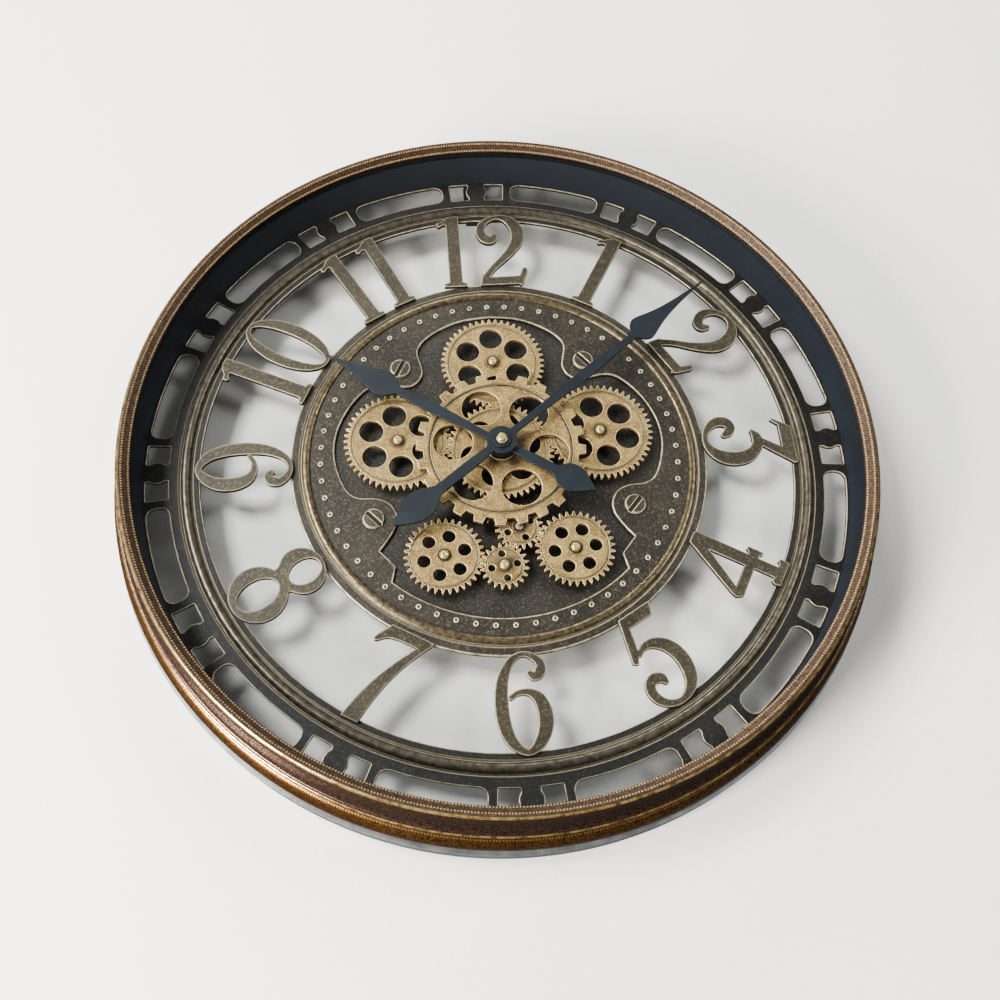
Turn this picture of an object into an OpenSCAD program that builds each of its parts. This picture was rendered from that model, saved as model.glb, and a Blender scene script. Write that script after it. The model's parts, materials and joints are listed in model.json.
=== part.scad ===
// Round wall clock with an open skeleton dial, a moving gear train and a glazed moulded case.
// Front faces -Y, +Z is 12 o'clock, and the origin is the keyhole of the hanger on the wall plane.
// Inside the modules, r is the distance from the dial axis and d the height above the dial face,
// towards the viewer.  Angles run clockwise from 12 o'clock.

/* [Case] */
// Outer radius of the front lip
lip_r = 300; // [298:0.5:302]
// Outer radius of the rear band
band_r = 315.5; // [315:0.25:316]
// Height of the dial face above the wall
dial_depth = 30; // [29:0.5:34]
// Height of the lip's crest above the dial face
lip_crest = 46.9; // [46.5:0.1:48]
// Thickness of the glass
glass_t = 3; // [2:0.5:3]

/* [Dial] */
// Radius of the crest of the minute track's bead
track_bead_r = 256.2; // [255.5:0.1:257]
// Inner radius of the minute track's flange
track_in_r = 245; // [244:0.5:246]
// Radius of the middle of the windows and long slots
slot_mid_r = 279.3; // [278.5:0.1:280]
// Radial width of the windows and long slots
slot_w = 18; // [14:0.5:18.5]
// Radius of the round hour markers between the windows
marker_r = 9.7; // [7:0.1:9.8]
// Outer radius of the centre disc
disc_r = 172.5; // [171.5:0.5:174]
// Radius of the crest of the centre disc's bead
disc_bead_r = 160; // [158:0.5:161]
// Radius of the circle of studs
stud_circle_r = 148; // [146:0.5:149]
// Number of studs
stud_count = 60; // [24:12:60]
// Radius of the circle of the four dial screws
dial_screw_r = 118.3; // [117.5:0.1:119]
// Height of a numeral
numeral_h = 79; // [78:0.5:80]
// Thickness of a numeral
numeral_t = 3.5; // [2:0.25:4]

/* [Gears] */
// Module of the fine teeth
gear_module = 1.77; // [1.76:0.01:1.78]
// Teeth of the centre wheel and of the three gears round it
wheel_teeth = 48; // [48:1:48]
// Teeth of the two lower gears
lower_teeth = 34; // [34:1:34]
// Teeth of the small gear and of the idler
small_teeth = 20; // [20:1:20]
// Teeth of the drive pinion
pinion_teeth = 12; // [12:1:12]
// Teeth of the coarse front gear
coarse_teeth = 24; // [18:2:28]
// Thickness of the gears
gear_t = 3.5; // [2.5:0.25:3.5]

/* [Hands] */
// Where the minute hand points, clockwise from 12 o'clock
minute_turn = 52; // [0:1:359]
// Where the hour hand points, clockwise from 12 o'clock
hour_turn = 303.3; // [0:0.1:359]
// Length of the minute hand from the axis to its tip
minute_len = 242; // [225:1:243]
// Length of the hour hand from the axis to its tip
hour_len = 168; // [150:1:180]

/* [Hidden] */

eps = 0.01;           // overlap of a cutter with open air
gap = 0.15;           // play between nested parts that don't move
run = 0.05;           // radial play of a running fit
keyhole_rise = 283;   // height of the hanger's keyhole above the dial axis

// Case levels and radii
step_d = -15.2;       // shelf of the rear band, under the rim
flange_r = 308;       // inside of the rear flange's upright wall
sheet_t = 2;
clamped_r = 309.6;    // edge of the plates that the case screws clamp
glass_d = 41.25 - glass_t;
seal_t = 1.2;
lip_in_r = 289;
rabbet_r = 293;
flange_d = -2.8;      // back of the track plate
flange_back = flange_d - sheet_t;
ledge_t = 3;
case_screw_r = 303;
case_screw_count = 12;

// Dial levels, in d
plate_t = 3;          // thickness of the centre disc's surround
floor_d = -plate_t;   // floor of the gear pocket
back_d = -5.5;        // back of the backplate
screw_turns = [42, 116, -116, -42];
screw_slots = [-39, 42, -43, 28];
pocket_arc_r = 141.5;

// Gear levels, in d
wheel_d = 5.5;
front_gear_d = 11;
post_r = 3;
gear_bore = post_r + run;
pinion_shaft_r = 3;

// Centres of the gears, found from the distances at which their teeth meet
function pitch_gap(a, b) = gear_module * (a + b) / 2;
function polar(r, turn) = [r * sin(turn), r * cos(turn)];
function turn_of(v) = atan2(v[0], v[1]);
// Third corner of a triangle on p and q, at distance a from p and b from q, to the left of p to q
function corner(p, q, a, b) =
    let (v = q - p, c = norm(v), e = v / c, x = (a * a - b * b + c * c) / (2 * c))
    p + x * e + sqrt(a * a - x * x) * [-e[1], e[0]];
side_turn = 81;
ring_r = pitch_gap(wheel_teeth, wheel_teeth);
top_pos = polar(ring_r, 0);
left_pos = polar(ring_r, -side_turn);
right_pos = polar(ring_r, side_turn);
lower_left_pos = [-51.8, -90.2];
lower_right_pos = [51.8, -90.2];
small_pos = lower_left_pos + polar(pitch_gap(lower_teeth, small_teeth), 103.9);
idler_pos = corner(small_pos, lower_right_pos, pitch_gap(small_teeth, small_teeth),
    pitch_gap(small_teeth, lower_teeth));
pinion_pos = corner(idler_pos, [0, 0], pitch_gap(pinion_teeth, small_teeth),
    pitch_gap(pinion_teeth, wheel_teeth));

// Turn of a gear b that meshes with a gear a lying in the direction `way` from a, nearest to `near`
function mesh_turn(way, turn_a, n_a, n_b, near) =
    let (t = way + 180 - 180 / n_b + (way - turn_a) * n_a / n_b)
    t + round((near - t) * n_b / 360) * 360 / n_b;
wheel_turn = 18.75;
top_turn = mesh_turn(0, wheel_turn, wheel_teeth, wheel_teeth, 0);
left_turn = mesh_turn(-side_turn, wheel_turn, wheel_teeth, wheel_teeth, -1);
right_turn = mesh_turn(side_turn, wheel_turn, wheel_teeth, wheel_teeth, -9);
pinion_turn = mesh_turn(turn_of(pinion_pos), wheel_turn, wheel_teeth, pinion_teeth, 0);
idler_turn = mesh_turn(turn_of(idler_pos - pinion_pos), pinion_turn, pinion_teeth, small_teeth, 65);
small_turn = mesh_turn(turn_of(small_pos - idler_pos), idler_turn, small_teeth, small_teeth, -8);
lower_left_turn = mesh_turn(turn_of(lower_left_pos - small_pos), small_turn, small_teeth,
    lower_teeth, 12);
lower_right_turn = mesh_turn(turn_of(lower_right_pos - idler_pos), idler_turn, small_teeth,
    lower_teeth, 21);
coarse_turn = 4.95;

// Arbors and hands, levels in d
bush_r = 5;
bush_bore = 3.45;
bush_top = 20;
hub_r = 8;
pipe_r = 3.4;
pipe_bore = 2.25;
pipe_top = 24.2;
arbor_r = 2.2;
arbor_top = 31;
hour_hand_d = 20.6;
minute_hand_d = 25;
hand_t = 2.2;

// Movement behind the dial, levels in d
movement_half = 28;
movement_d = -21.5;
movement_wall = 1.2;
motion_module = 0.5;
motion_pos = [0, 12];
knob_pos = [12, 12];
motor_d = -25;
motor_half_w = 52;
motor_top = -38;
motor_bottom = -120;
battery_r = 7.25;
battery_l = 50.5;
switch_pos = [-38, -56];

// --- helpers -------------------------------------------------------------------------------

// Extrudes a flat shape, seen from the front, from level d0 to level d1
module slab(d0, d1) {
    translate([0, -dial_depth - d0, -keyhole_rise]) rotate([90, 0, 0]) linear_extrude(d1 - d0) children();
}
// Revolves a profile of [r, d] round the dial axis
module turned(pos = [0, 0]) {
    translate([pos[0], -dial_depth, pos[1] - keyhole_rise]) rotate([90, 0, 0])
        rotate_extrude($fn = 96) children();
}
module disc_at(pos, r) { translate(pos) circle(r, $fn = 48); }
module spun(turn) { rotate(-turn) children(); }

// Catmull-Rom curve through the points of a list, whose entries may carry a width as well
function blend(a, b, c, e, t) = 0.5 * (2 * b + (c - a) * t + (2 * a - 5 * b + 4 * c - e) * t * t
    + (3 * b - a - 3 * c + e) * t * t * t);
function curve(p, steps = 4) = let (n = len(p)) concat(
    [for (i = [0 : n - 2], j = [0 : steps - 1])
        blend(p[max(i - 1, 0)], p[i], p[i + 1], p[min(i + 2, n - 1)], j / steps)], [p[n - 1]]);

// Outline of a brush stroke along points [x, y, half width]
function side(p, s) = let (n = len(p)) [for (i = [0 : n - 1])
    let (v = p[min(i + 1, n - 1)] - p[max(i - 1, 0)], l = norm([v[0], v[1]]))
    [p[i][0] - s * v[1] / l * p[i][2], p[i][1] + s * v[0] / l * p[i][2]]];
function reversed(p) = [for (i = [len(p) - 1 : -1 : 0]) p[i]];
module stroke(points) {
    path = curve(points);
    polygon(concat(side(path, 1), reversed(side(path, -1))));
    for (end = [path[0], path[len(path) - 1]]) disc_at([end[0], end[1]], end[2]);
}
module oval(pos, rx, ry, n = 48) {
    polygon([for (i = [0 : n - 1]) pos + [rx * sin(i * 360 / n), ry * cos(i * 360 / n)]]);
}

// Rounded rectangle bent round the dial, centred on `turn`
module bent_slot(half_l, r0, r1, c, turn, n = 8) {
    mid = (r0 + r1) / 2;
    function bent(s, r) = polar(r, turn + s / mid * 180 / PI);
    function round_corner(s, r, from) = [for (k = [0 : 4])
        bent(s + c * sin(from + k * 22.5), r + c * cos(from + k * 22.5))];
    l = half_l - c;
    polygon(concat(
        [for (k = [0 : n]) bent(-l + 2 * l * k / n, r1)], round_corner(l, r1 - c, 0),
        round_corner(l, r0 + c, 90), [for (k = [0 : n]) bent(l - 2 * l * k / n, r0)],
        round_corner(-l, r0 + c, 180), round_corner(-l, r1 - c, 270)));
}

// Outline of a fine-toothed gear; a tooth stands at angle 0
addendum = 1;
dedendum = 1.2;
tooth_share = 0.41;   // width of a tooth on the pitch circle, as a share of the pitch
pressure_angle = 20;
function involute(a) = tan(a) * 180 / PI - a;
function half_tooth(n, m, r) = let (base = m * n / 2 * cos(pressure_angle))
    180 / n * tooth_share + involute(pressure_angle) - (r > base ? involute(acos(base / r)) : 0);
function tooth_radii(n, m) = [for (k = [0 : 4]) m * (n / 2 - dedendum + (addendum + dedendum) * k / 4)];
function gear_outline(n, m) = [for (i = [0 : n - 1]) let (mid = i * 360 / n)
    each concat([for (r = tooth_radii(n, m)) polar(r, mid - max(half_tooth(n, m, r), 0.2))],
        [for (r = reversed(tooth_radii(n, m))) polar(r, mid + max(half_tooth(n, m, r), 0.2))])];

// Gear blank: teeth, bore and a ring of round holes
module gear_shape(n, m, bore, holes = 0, hole_r = 1, hole_at = 1) {
    difference() {
        polygon(gear_outline(n, m));
        circle(bore, $fn = 48);
        if (holes > 0) for (i = [0 : holes - 1]) disc_at(polar(hole_at, i * 360 / holes), hole_r);
    }
}
groove_w = 0.8;
groove_deep = 0.5;
// Train gear in its place, with the engraved ring on its face
module train_gear(pos, turn, n, bore, holes, hole_r, hole_at, groove_r) {
    color("burlywood") difference() {
        slab(wheel_d, wheel_d + gear_t) translate(pos) spun(turn)
            gear_shape(n, gear_module, bore, holes, hole_r, hole_at);
        slab(wheel_d + gear_t - groove_deep, wheel_d + gear_t + 1) translate(pos) difference() {
            circle(groove_r + groove_w / 2, $fn = 96);
            circle(groove_r - groove_w / 2, $fn = 96);
        }
    }
}
module large_gear(pos, turn, bore = gear_bore) { train_gear(pos, turn, wheel_teeth, bore, 6, 10, 23.7, 37.4); }
module lower_gear(pos, turn) { train_gear(pos, turn, lower_teeth, gear_bore, 6, 5.3, 16.6, 26.6); }
module little_gear(pos, turn) { train_gear(pos, turn, small_teeth, gear_bore, 4, 3, 10.3, 14.2); }

// --- case ----------------------------------------------------------------------------------

// Centres of the case screws
screw_places = [for (i = [0 : case_screw_count - 1]) polar(case_screw_r, 15 + i * 360 / case_screw_count)];

// Moulded rim: knurled lip, long cove, thin ridge and round belly, as one hollow casting
module bezel() {
    foot_d = 1.5;
    lip = [[lip_in_r, 41.4], [lip_in_r + 1.2, 42.8], [lip_in_r + 3, 44.2], [lip_in_r + 4.8, 45.7],
        [lip_r - 4.6, lip_crest - 0.2], [lip_r - 3.4, lip_crest], [lip_r - 2.2, 46.5], [lip_r - 1, 45.3],
        [lip_r - 0.2, 43.8], [lip_r, 42.2], [lip_r - 0.6, 41.2], [lip_r - 0.6, 40.2]];
    cove = [for (k = [0 : 6]) [lip_r - 0.2 + 5.6 * (1 - cos(k * 15)), 39.5 - 21.5 * sin(k * 15)]];
    ridge = [[306.6, 17.4], [307.2, 16], [306.9, 14.6], [306, 13.2], [304.9, 11.8], [304.6, 10.4]];
    belly = [for (k = [5 : -1 : -3]) [302 + 11 * cos(k * 13), -4 + 14 * sin(k * 13)]];
    lower_edge = [[310.7, step_d + 0.1], [flange_r + sheet_t + gap, step_d + 0.1]];
    inside = [[flange_r + sheet_t + gap, foot_d], [298, foot_d], [298, foot_d + ledge_t],
        [306.8, foot_d + ledge_t], [304.4, 6.6], [302.6, 8.4], [302.2, 10.6], [303.4, 14], [301.6, 16.4],
        [299.8, 19.6], [298.6, 24], [297.9, 29], [297.4, 34], [297, 38], [rabbet_r, 38],
        [rabbet_r, 41.25], [lip_in_r, 41.25]];
    color("darkgoldenrod") difference() {
        turned() polygon(concat(lip, cove, ridge, belly, lower_edge, inside));
        for (pos = screw_places) slab(foot_d - 0.5, foot_d + ledge_t + 1) disc_at(pos, 1.6);
    }
}
module glass() {
    color("lightcyan", 0.3) slab(glass_d, glass_d + glass_t) circle(rabbet_r - gap, $fn = 96);
}
module glass_seal() {
    color("dimgray") slab(glass_d - seal_t, glass_d) difference() {
        circle(rabbet_r - gap, $fn = 96);
        circle(rabbet_r - 3, $fn = 96);
    }
}
// Dark wall between the dial and the glass, with a foot that is clamped on the track plate
module inner_liner() {
    liner_in = rabbet_r - 2.6;
    color([0.13, 0.17, 0.2]) difference() {
        turned() polygon([[liner_in, 0], [clamped_r, 0], [clamped_r, 1.5], [rabbet_r - gap, 1.5],
            [rabbet_r - gap, glass_d - seal_t], [liner_in, glass_d - seal_t]]);
        for (pos = screw_places) slab(-1, 2) disc_at(pos, 1.8);
    }
}
// Band that stands on the wall, with a shelf at its front for the flange and the rim
module rear_band() {
    inner = band_r - sheet_t;
    color("slategray") turned() polygon([[inner, -dial_depth], [band_r, -dial_depth], [band_r, step_d],
        [flange_r, step_d], [flange_r, step_d - sheet_t], [inner, step_d - sheet_t]]);
}
rivet_places = [for (x = [-6, 6]) [x, case_screw_r - 4.5]];
// Ring under the track plate, welded on the band's shelf
module rear_flange() {
    color("lightslategray") difference() {
        turned() polygon([[flange_r, step_d], [flange_r + sheet_t, step_d], [flange_r + sheet_t, flange_d],
            [292, flange_d], [292, flange_back], [flange_r, flange_back]]);
        for (pos = screw_places) slab(flange_back - 1, flange_d + 1) disc_at(pos, 1.8);
        for (pos = rivet_places) slab(flange_back - 1, flange_d + 1) disc_at(pos, 1.6);
    }
}
// Cross-slotted screws that hold the rim, and the hanger's two rivets
module case_fixings() {
    color("silver") {
        for (pos = screw_places) {
            slab(flange_back - 1.6, flange_back) difference() {
                disc_at(pos, 3.2);
                translate(pos) square([0.9, 4], center = true);
                translate(pos) square([4, 0.9], center = true);
            }
            slab(flange_back, 1 + ledge_t) disc_at(pos, 1.5);
        }
        for (pos = rivet_places) {
            slab(flange_back - hanger_t - 1.4, flange_back - hanger_t) disc_at(pos, 2.8);
            slab(flange_back - hanger_t, flange_d) disc_at(pos, 1.55);
        }
    }
}
hanger_w = 20;
hanger_t = 2;
hanger_foot = 304.5;
hanger_plate_t = 1;
module keyhole() {
    slot_l = 13;
    slot_r = 2.3;
    translate([0, keyhole_rise]) {
        circle(4.5, $fn = 48);
        translate([-slot_r, 0]) square([2 * slot_r, slot_l]);
        translate([0, slot_l]) circle(slot_r, $fn = 48);
    }
}
// Z-shaped strap: its top foot is riveted to the flange and its tongue lies on the wall
module hanger() {
    color([0.15, 0.17, 0.19]) {
        slab(-dial_depth, hanger_t - dial_depth) difference() {
            translate([-hanger_w / 2, 264]) square([hanger_w, hanger_foot - 264]);
            keyhole();
        }
        slab(-dial_depth, flange_back) translate([-hanger_w / 2, hanger_foot]) square([hanger_w, hanger_t]);
        slab(flange_back - hanger_t, flange_back) difference() {
            translate([-hanger_w / 2, 293]) square([hanger_w, hanger_foot - 293 + eps]);
            for (pos = rivet_places) disc_at(pos, 1.6);
        }
    }
}
// Bright plate with the same keyhole, welded on the strap
module hanger_plate() {
    color("silver") slab(hanger_t - dial_depth, hanger_t - dial_depth + hanger_plate_t) difference() {
        polygon([[-9.5, 268], [9.5, 268], [9.5, 290], [3, 304], [-3, 304], [-9.5, 290]]);
        keyhole();
    }
}

// --- dial ----------------------------------------------------------------------------------

module track_plate() {
    window_half = 8.4;
    window_turn = 3.3;
    long_half = 41;
    color([0.27, 0.26, 0.22]) difference() {
        slab(flange_d, 0) difference() {
            circle(clamped_r, $fn = 96);
            circle(track_in_r, $fn = 96);
            for (hour = [0 : 11]) {
                bent_slot(long_half, slot_mid_r - slot_w / 2, slot_mid_r + slot_w / 2, 7, 15 + 30 * hour);
                difference() {
                    for (s = [-1, 1]) bent_slot(window_half, slot_mid_r - slot_w / 2,
                        slot_mid_r + slot_w / 2, 1, 30 * hour + s * window_turn, 2);
                    disc_at(polar(slot_mid_r, 30 * hour), marker_r);
                }
            }
            for (pos = screw_places) disc_at(pos, 1.8);
        }
        for (ring = [[track_bead_r + 4.3, track_bead_r + 6], [track_bead_r - 5.6, track_bead_r - 4.3]])
            slab(-1.1, 1) difference() {
                circle(ring[1], $fn = 96);
                circle(ring[0], $fn = 96);
            }
    }
}
module bead(r, half_w, rise) {
    turned() intersection() {
        translate([r, rise - half_w]) circle(half_w, $fn = 32);
        translate([r - half_w, 0]) square([2 * half_w, half_w]);
    }
}
module track_bead() { color([0.36, 0.33, 0.27]) bead(track_bead_r, 4, 3.7); }
module disc_bead() { color([0.62, 0.52, 0.36]) bead(disc_bead_r, 3.4, 2.1); }

// Digits stand on y = 0 and are numeral_h high
module digit_1() {
    polygon([[-10.5, 0], [10, 0], [10, 3.2], [6.2, 4.6], [6.2, numeral_h], [-1, numeral_h],
        [-5.5, 76.6], [-9.5, 73.2], [-13.8, 72], [-14, 68.4], [-12, 66.8], [-9, 69], [-5.8, 69.2],
        [-5.8, 4.6], [-10.5, 3.2]]);
}
module digit_2() {
    stroke([[-2.8, 55, 2.6], [-5.6, 51, 4.2], [-10.6, 51.2, 4.7], [-15, 56.5, 4.4], [-15.5, 63.6, 3.9],
        [-12, 70.6, 3.1], [-5, 75.2, 2.5], [2.4, 76.2, 2.6], [9.6, 73.4, 4.2], [15.4, 67, 5.6],
        [18.2, 58, 6.1], [16.8, 48, 5.6], [11.4, 38.6, 4.6], [3.6, 29.4, 3.6], [-5.4, 20.4, 3],
        [-13, 10.8, 3]]);
    polygon([[-19.4, 0.4], [15.4, 0.4], [17, -1.6], [19.8, 2.4], [24.2, 14.4], [23.6, 17.6], [21.4, 18.6],
        [19.4, 17], [16.4, 9.4], [-9, 9], [-16.8, 12]]);
}
module digit_3() {
    polygon([[-11.4, 78.4], [22.2, 78.4], [23.6, 75.6], [1.8, 45], [-5.6, 45], [7.6, 67.4], [-13.4, 67.4],
        [-18, 61.6], [-20.2, 63], [-13.4, 74.6]]);
    stroke([[-8.8, 43.8, 1.5], [-3.4, 47, 4.2], [3.6, 47.4, 4.6], [10.6, 42.8, 5.2], [15.4, 34.6, 6.1],
        [16.6, 24.4, 6.3], [13.8, 14.4, 5.6], [7.6, 6.8, 4], [0, 3.2, 2.7], [-8, 4.2, 2.7],
        [-15, 8.8, 3.6], [-19, 16.2, 4.5], [-17.8, 23.6, 4.6], [-12.4, 26.4, 4.2], [-8.4, 23.8, 4],
        [-6.2, 20.4, 2.7]]);
}
module digit_4() {
    difference() {
        polygon([[-4.4, numeral_h], [4.6, numeral_h], [6.6, 77], [6.6, 32.4], [8.6, 33], [10.4, 35.6],
            [13, 35], [13, 22], [10.6, 21.2], [8.6, 23.4], [6.6, 24], [6.6, 7], [9.4, 7], [11.4, 9],
            [14, 8], [13.6, 0], [-8, 0], [-8.8, 5.4], [-6.6, 8], [-3.2, 6.8], [-3.2, 23.6], [-29, 23.6],
            [-32, 28.6], [-31, 32.4]]);
        polygon([[-3.8, 62.4], [-3.8, 32], [-23.6, 32]]);
    }
}
module digit_5() {
    polygon([[-7.4, 78.6], [20.6, 78.6], [21.6, 76.6], [17.8, 68.4], [-3.6, 68.4], [-9.2, 50.4],
        [-15.2, 41.6], [-19.2, 44.4]]);
    stroke([[-10, 48, 2.2], [-3.6, 51, 3], [4, 49.6, 4.2], [11, 43.6, 5.2], [15, 34.6, 5.6],
        [15.4, 23.6, 5.6], [12, 12.8, 5], [5, 5.4, 3.8], [-4, 2.6, 2.6], [-12, 4.4, 2.8], [-18, 9.8, 3.6],
        [-20.4, 17.2, 4], [-18.4, 24.2, 4.2], [-12.6, 27, 4.4], [-7.4, 24.2, 4], [-6.2, 20.4, 2.4]]);
}
module digit_6() {
    stroke([[6.4, 61.2, 2.4], [9.6, 58.8, 3.6], [14, 61.6, 4.4], [15, 68, 3.6], [10, 74, 2.8],
        [2, 76.4, 2.2], [-6, 72.6, 3], [-12, 63.6, 4], [-15.6, 51.6, 5], [-16.6, 36.6, 5.4],
        [-15, 21.6, 5.2], [-10, 9.6, 4.2], [0, 2.6, 2.6], [9, 8.4, 4.4], [14.6, 19, 5.6],
        [15.4, 31, 5.7], [12, 41.6, 4.7], [5, 46.8, 3], [-3, 47, 2.3], [-9, 43.6, 2.1]]);
}
module digit_7() {
    polygon(concat([[-10.6, 78.6], [24.8, 78.6]],
        curve([[24.8, 76.4], [16.8, 61.6], [9, 42], [4, 22], [1, 0.4]]),
        curve([[-13, 0.4], [-9, 18], [-3, 36], [5.4, 54], [14.4, 69.4]]),
        curve([[0, 69.2], [-9, 67.2], [-15.6, 61.8]]), [[-17.6, 61], [-19.4, 62.8], [-18.6, 65.2]]));
}
module digit_8() {
    difference() {
        union() {
            oval([-0.4, 61], 20, 18);
            oval([-2, 23], 23.2, 23);
            polygon([[-15, 52], [-12.6, 44], [-14, 36], [12, 36], [9.4, 44], [12.6, 50]]);
        }
        oval([1.2, 62.4], 9.8, 13.2);
        oval([-1.8, 22.6], 11.4, 17.4);
    }
}
module digit_0() {
    difference() {
        oval([0, numeral_h / 2], 21, numeral_h / 2);
        oval([-0.6, numeral_h / 2], 10.8, numeral_h / 2 - 3.4);
    }
}
module digit(n) {
    if (n == 0) digit_0();
    if (n == 1) digit_1();
    if (n == 2) digit_2();
    if (n == 3) digit_3();
    if (n == 4) digit_4();
    if (n == 5) digit_5();
    if (n == 6) digit_6();
    if (n == 7) digit_7();
    if (n == 8) digit_8();
    if (n == 9) translate([0, numeral_h]) rotate(180) digit_6();
}
// Digits of each hour as [digit, sideways shift, lean]
function hour_digits(hour) = hour == 10 ? [[1, -22, -4.6], [0, 13, 0]]
    : hour == 11 ? [[1, -15.6, 0], [1, 15.4, 4.6]]
    : hour == 12 ? [[1, -25.6, 0], [2, 15.6, 0]] : [[hour, 0, 0]];
foot_r = disc_r - 3;
soft_corner = 0.5;
// Numerals of the lower half stand with their heads towards the centre
module numeral(hour) {
    low = hour > 3 && hour < 9;
    color([0.3, 0.29, 0.24]) slab(0, numeral_t) spun(30 * hour)
        translate([0, low ? foot_r + numeral_h : foot_r]) rotate(low ? 180 : 0)
        offset(r = soft_corner, $fn = 16) offset(delta = -soft_corner)
        for (g = hour_digits(hour)) translate([g[1], 0]) rotate(-g[2]) digit(g[0]);
}

// Right half of the edge of the gear pocket, from the top to the corner above the lower gears
pocket_side = [[0, 137], [23, 134.4], [43, 126.2], [57.6, 115.4], [63.4, 105], [61.6, 94], [60, 84],
    [63.6, 75], [72, 69.8], [84, 71], [96, 73], [107, 70], [119, 58], [129, 42], [135.2, 24],
    [136.4, 6], [132.6, -12], [126, -26.4], [117, -32], [104, -33], [93.6, -37.6], [87.8, -47],
    [88, -57.6], [94, -69], [102, -79.5]];
pocket_edge = concat(curve(pocket_side, 3), [[90, -93.5]],
    [for (k = [0 : 12]) polar(pocket_arc_r, 138.8 + k * (180 - 138.8) / 12)]);
function mirrored(p) = [for (q = reversed(p)) [-q[0], q[1]]];
module pocket_shape() { polygon(concat(pocket_edge, mirrored(pocket_edge))); }

module dial_surround() {
    color([0.28, 0.28, 0.26]) difference() {
        slab(-plate_t, 0) difference() {
            circle(disc_r, $fn = 96);
            pocket_shape();
            for (turn = screw_turns) disc_at(polar(dial_screw_r, turn), 2.7);
        }
        slab(-1.2, 1) difference() {
            circle(disc_bead_r + 5.2, $fn = 96);
            circle(disc_bead_r + 3.8, $fn = 96);
        }
    }
}
module dial_studs() {
    color([0.5, 0.48, 0.42]) for (i = [0 : stud_count - 1]) turned(polar(stud_circle_r, i * 360 / stud_count))
        polygon([[0, 0], [2.6, 0], [2.4, 0.7], [1.9, 1.1], [1.3, 1.1], [0.5, 0.45], [0, 0.4]]);
}
module dial_screws() {
    color([0.42, 0.41, 0.37]) for (i = [0 : 3]) {
        pos = polar(dial_screw_r, screw_turns[i]);
        difference() {
            turned(pos) polygon([[0, 0], [9, 0], [9, 1.2], [8.2, 2.2], [0, 2.6]]);
            slab(0.8, 4) translate(pos) spun(screw_slots[i]) square([3.2, 24], center = true);
        }
        slab(back_d, 0.1) disc_at(pos, 2.5);
    }
}
post_places = [top_pos, left_pos, right_pos, lower_left_pos, lower_right_pos, small_pos];
tail_r = 2;
module backplate() {
    color([0.24, 0.24, 0.23]) slab(back_d, floor_d) difference() {
        circle(disc_r - 9, $fn = 96);
        circle(bush_r + 0.2, $fn = 48);
        disc_at(pinion_pos, 3.4);
        for (turn = screw_turns) disc_at(polar(dial_screw_r, turn), 2.55);
        for (pos = concat(post_places, [idler_pos])) disc_at(pos, tail_r + 0.05);
    }
}

// --- gear train ----------------------------------------------------------------------------

module post_body(pos, top) {
    turned(pos) polygon([[0, back_d], [tail_r, back_d], [tail_r, floor_d], [7, floor_d], [7, floor_d + 1],
        [5, floor_d + 1.6], [5, wheel_d - 0.2], [post_r, wheel_d - 0.2], [post_r, top], [0, top]]);
}
post_top = wheel_d + gear_t + 1.1;
module gear_posts() {
    color("silver") {
        post_body(idler_pos, post_top);
        for (pos = post_places) difference() {
            post_body(pos, post_top);
            slab(post_top - 6, post_top + 1) disc_at(pos, 1.3);
        }
    }
}
module post_washers() {
    color([0.2, 0.18, 0.15]) for (pos = concat(post_places, [idler_pos]))
        slab(wheel_d + gear_t + 0.2, wheel_d + gear_t + 1) difference() {
            disc_at(pos, pos == small_pos ? 4 : 5.6);
            disc_at(pos, post_r + 0.02);
        }
}
module post_screws() {
    color([0.75, 0.68, 0.5]) for (pos = post_places) turned(pos)
        polygon([[0, post_top - 5.5], [1.28, post_top - 5.5], [1.28, post_top], [4, post_top],
            [3.9, post_top + 1], [3.3, post_top + 2], [2.1, post_top + 2.7], [0, post_top + 3]]);
}
// Coarse gear in front, with tapered teeth and six large holes
module centre_gear() {
    tip_r = 69.7;
    root_r = 63.8;
    teeth = [for (i = [0 : coarse_teeth - 1], c = [[root_r, -4.5], [tip_r, -3.1], [tip_r, 3.1], [root_r, 4.5]])
        polar(c[0], coarse_turn + i * 360 / coarse_teeth + c[1] * 24 / coarse_teeth)];
    color("tan") difference() {
        slab(front_gear_d, front_gear_d + gear_t) difference() {
            polygon(teeth);
            circle(hub_r, $fn = 48);
            for (i = [0 : 5]) disc_at(polar(39.5, 40 + i * 60), 16.4);
        }
        slab(front_gear_d + gear_t - 0.7, front_gear_d + gear_t + 1) difference() {
            circle(59.1, $fn = 96);
            circle(57.7, $fn = 96);
        }
    }
}
module centre_wheel() { large_gear([0, 0], wheel_turn, hub_r); }
// Sleeve that carries both centre gears and turns on the stem
module centre_hub() {
    face = front_gear_d + gear_t;
    color([0.22, 0.2, 0.17]) turned() polygon([[bush_r + run, 0.3], [11, 0.3], [11, wheel_d], [hub_r, wheel_d],
        [hub_r, wheel_d + gear_t], [12, wheel_d + gear_t], [12, front_gear_d], [hub_r, front_gear_d],
        [hub_r, face], [13.6, face], [13.2, face + 2], [9.6, face + 3.4], [bush_r + run, face + 3.4]]);
}
module top_gear() { large_gear(top_pos, top_turn); }
module left_gear() { large_gear(left_pos, left_turn); }
module right_gear() { large_gear(right_pos, right_turn); }
module lower_left_gear() { lower_gear(lower_left_pos, lower_left_turn); }
module lower_right_gear() { lower_gear(lower_right_pos, lower_right_turn); }
module small_gear() { little_gear(small_pos, small_turn); }
module idler_gear() { little_gear(idler_pos, idler_turn); }
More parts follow.
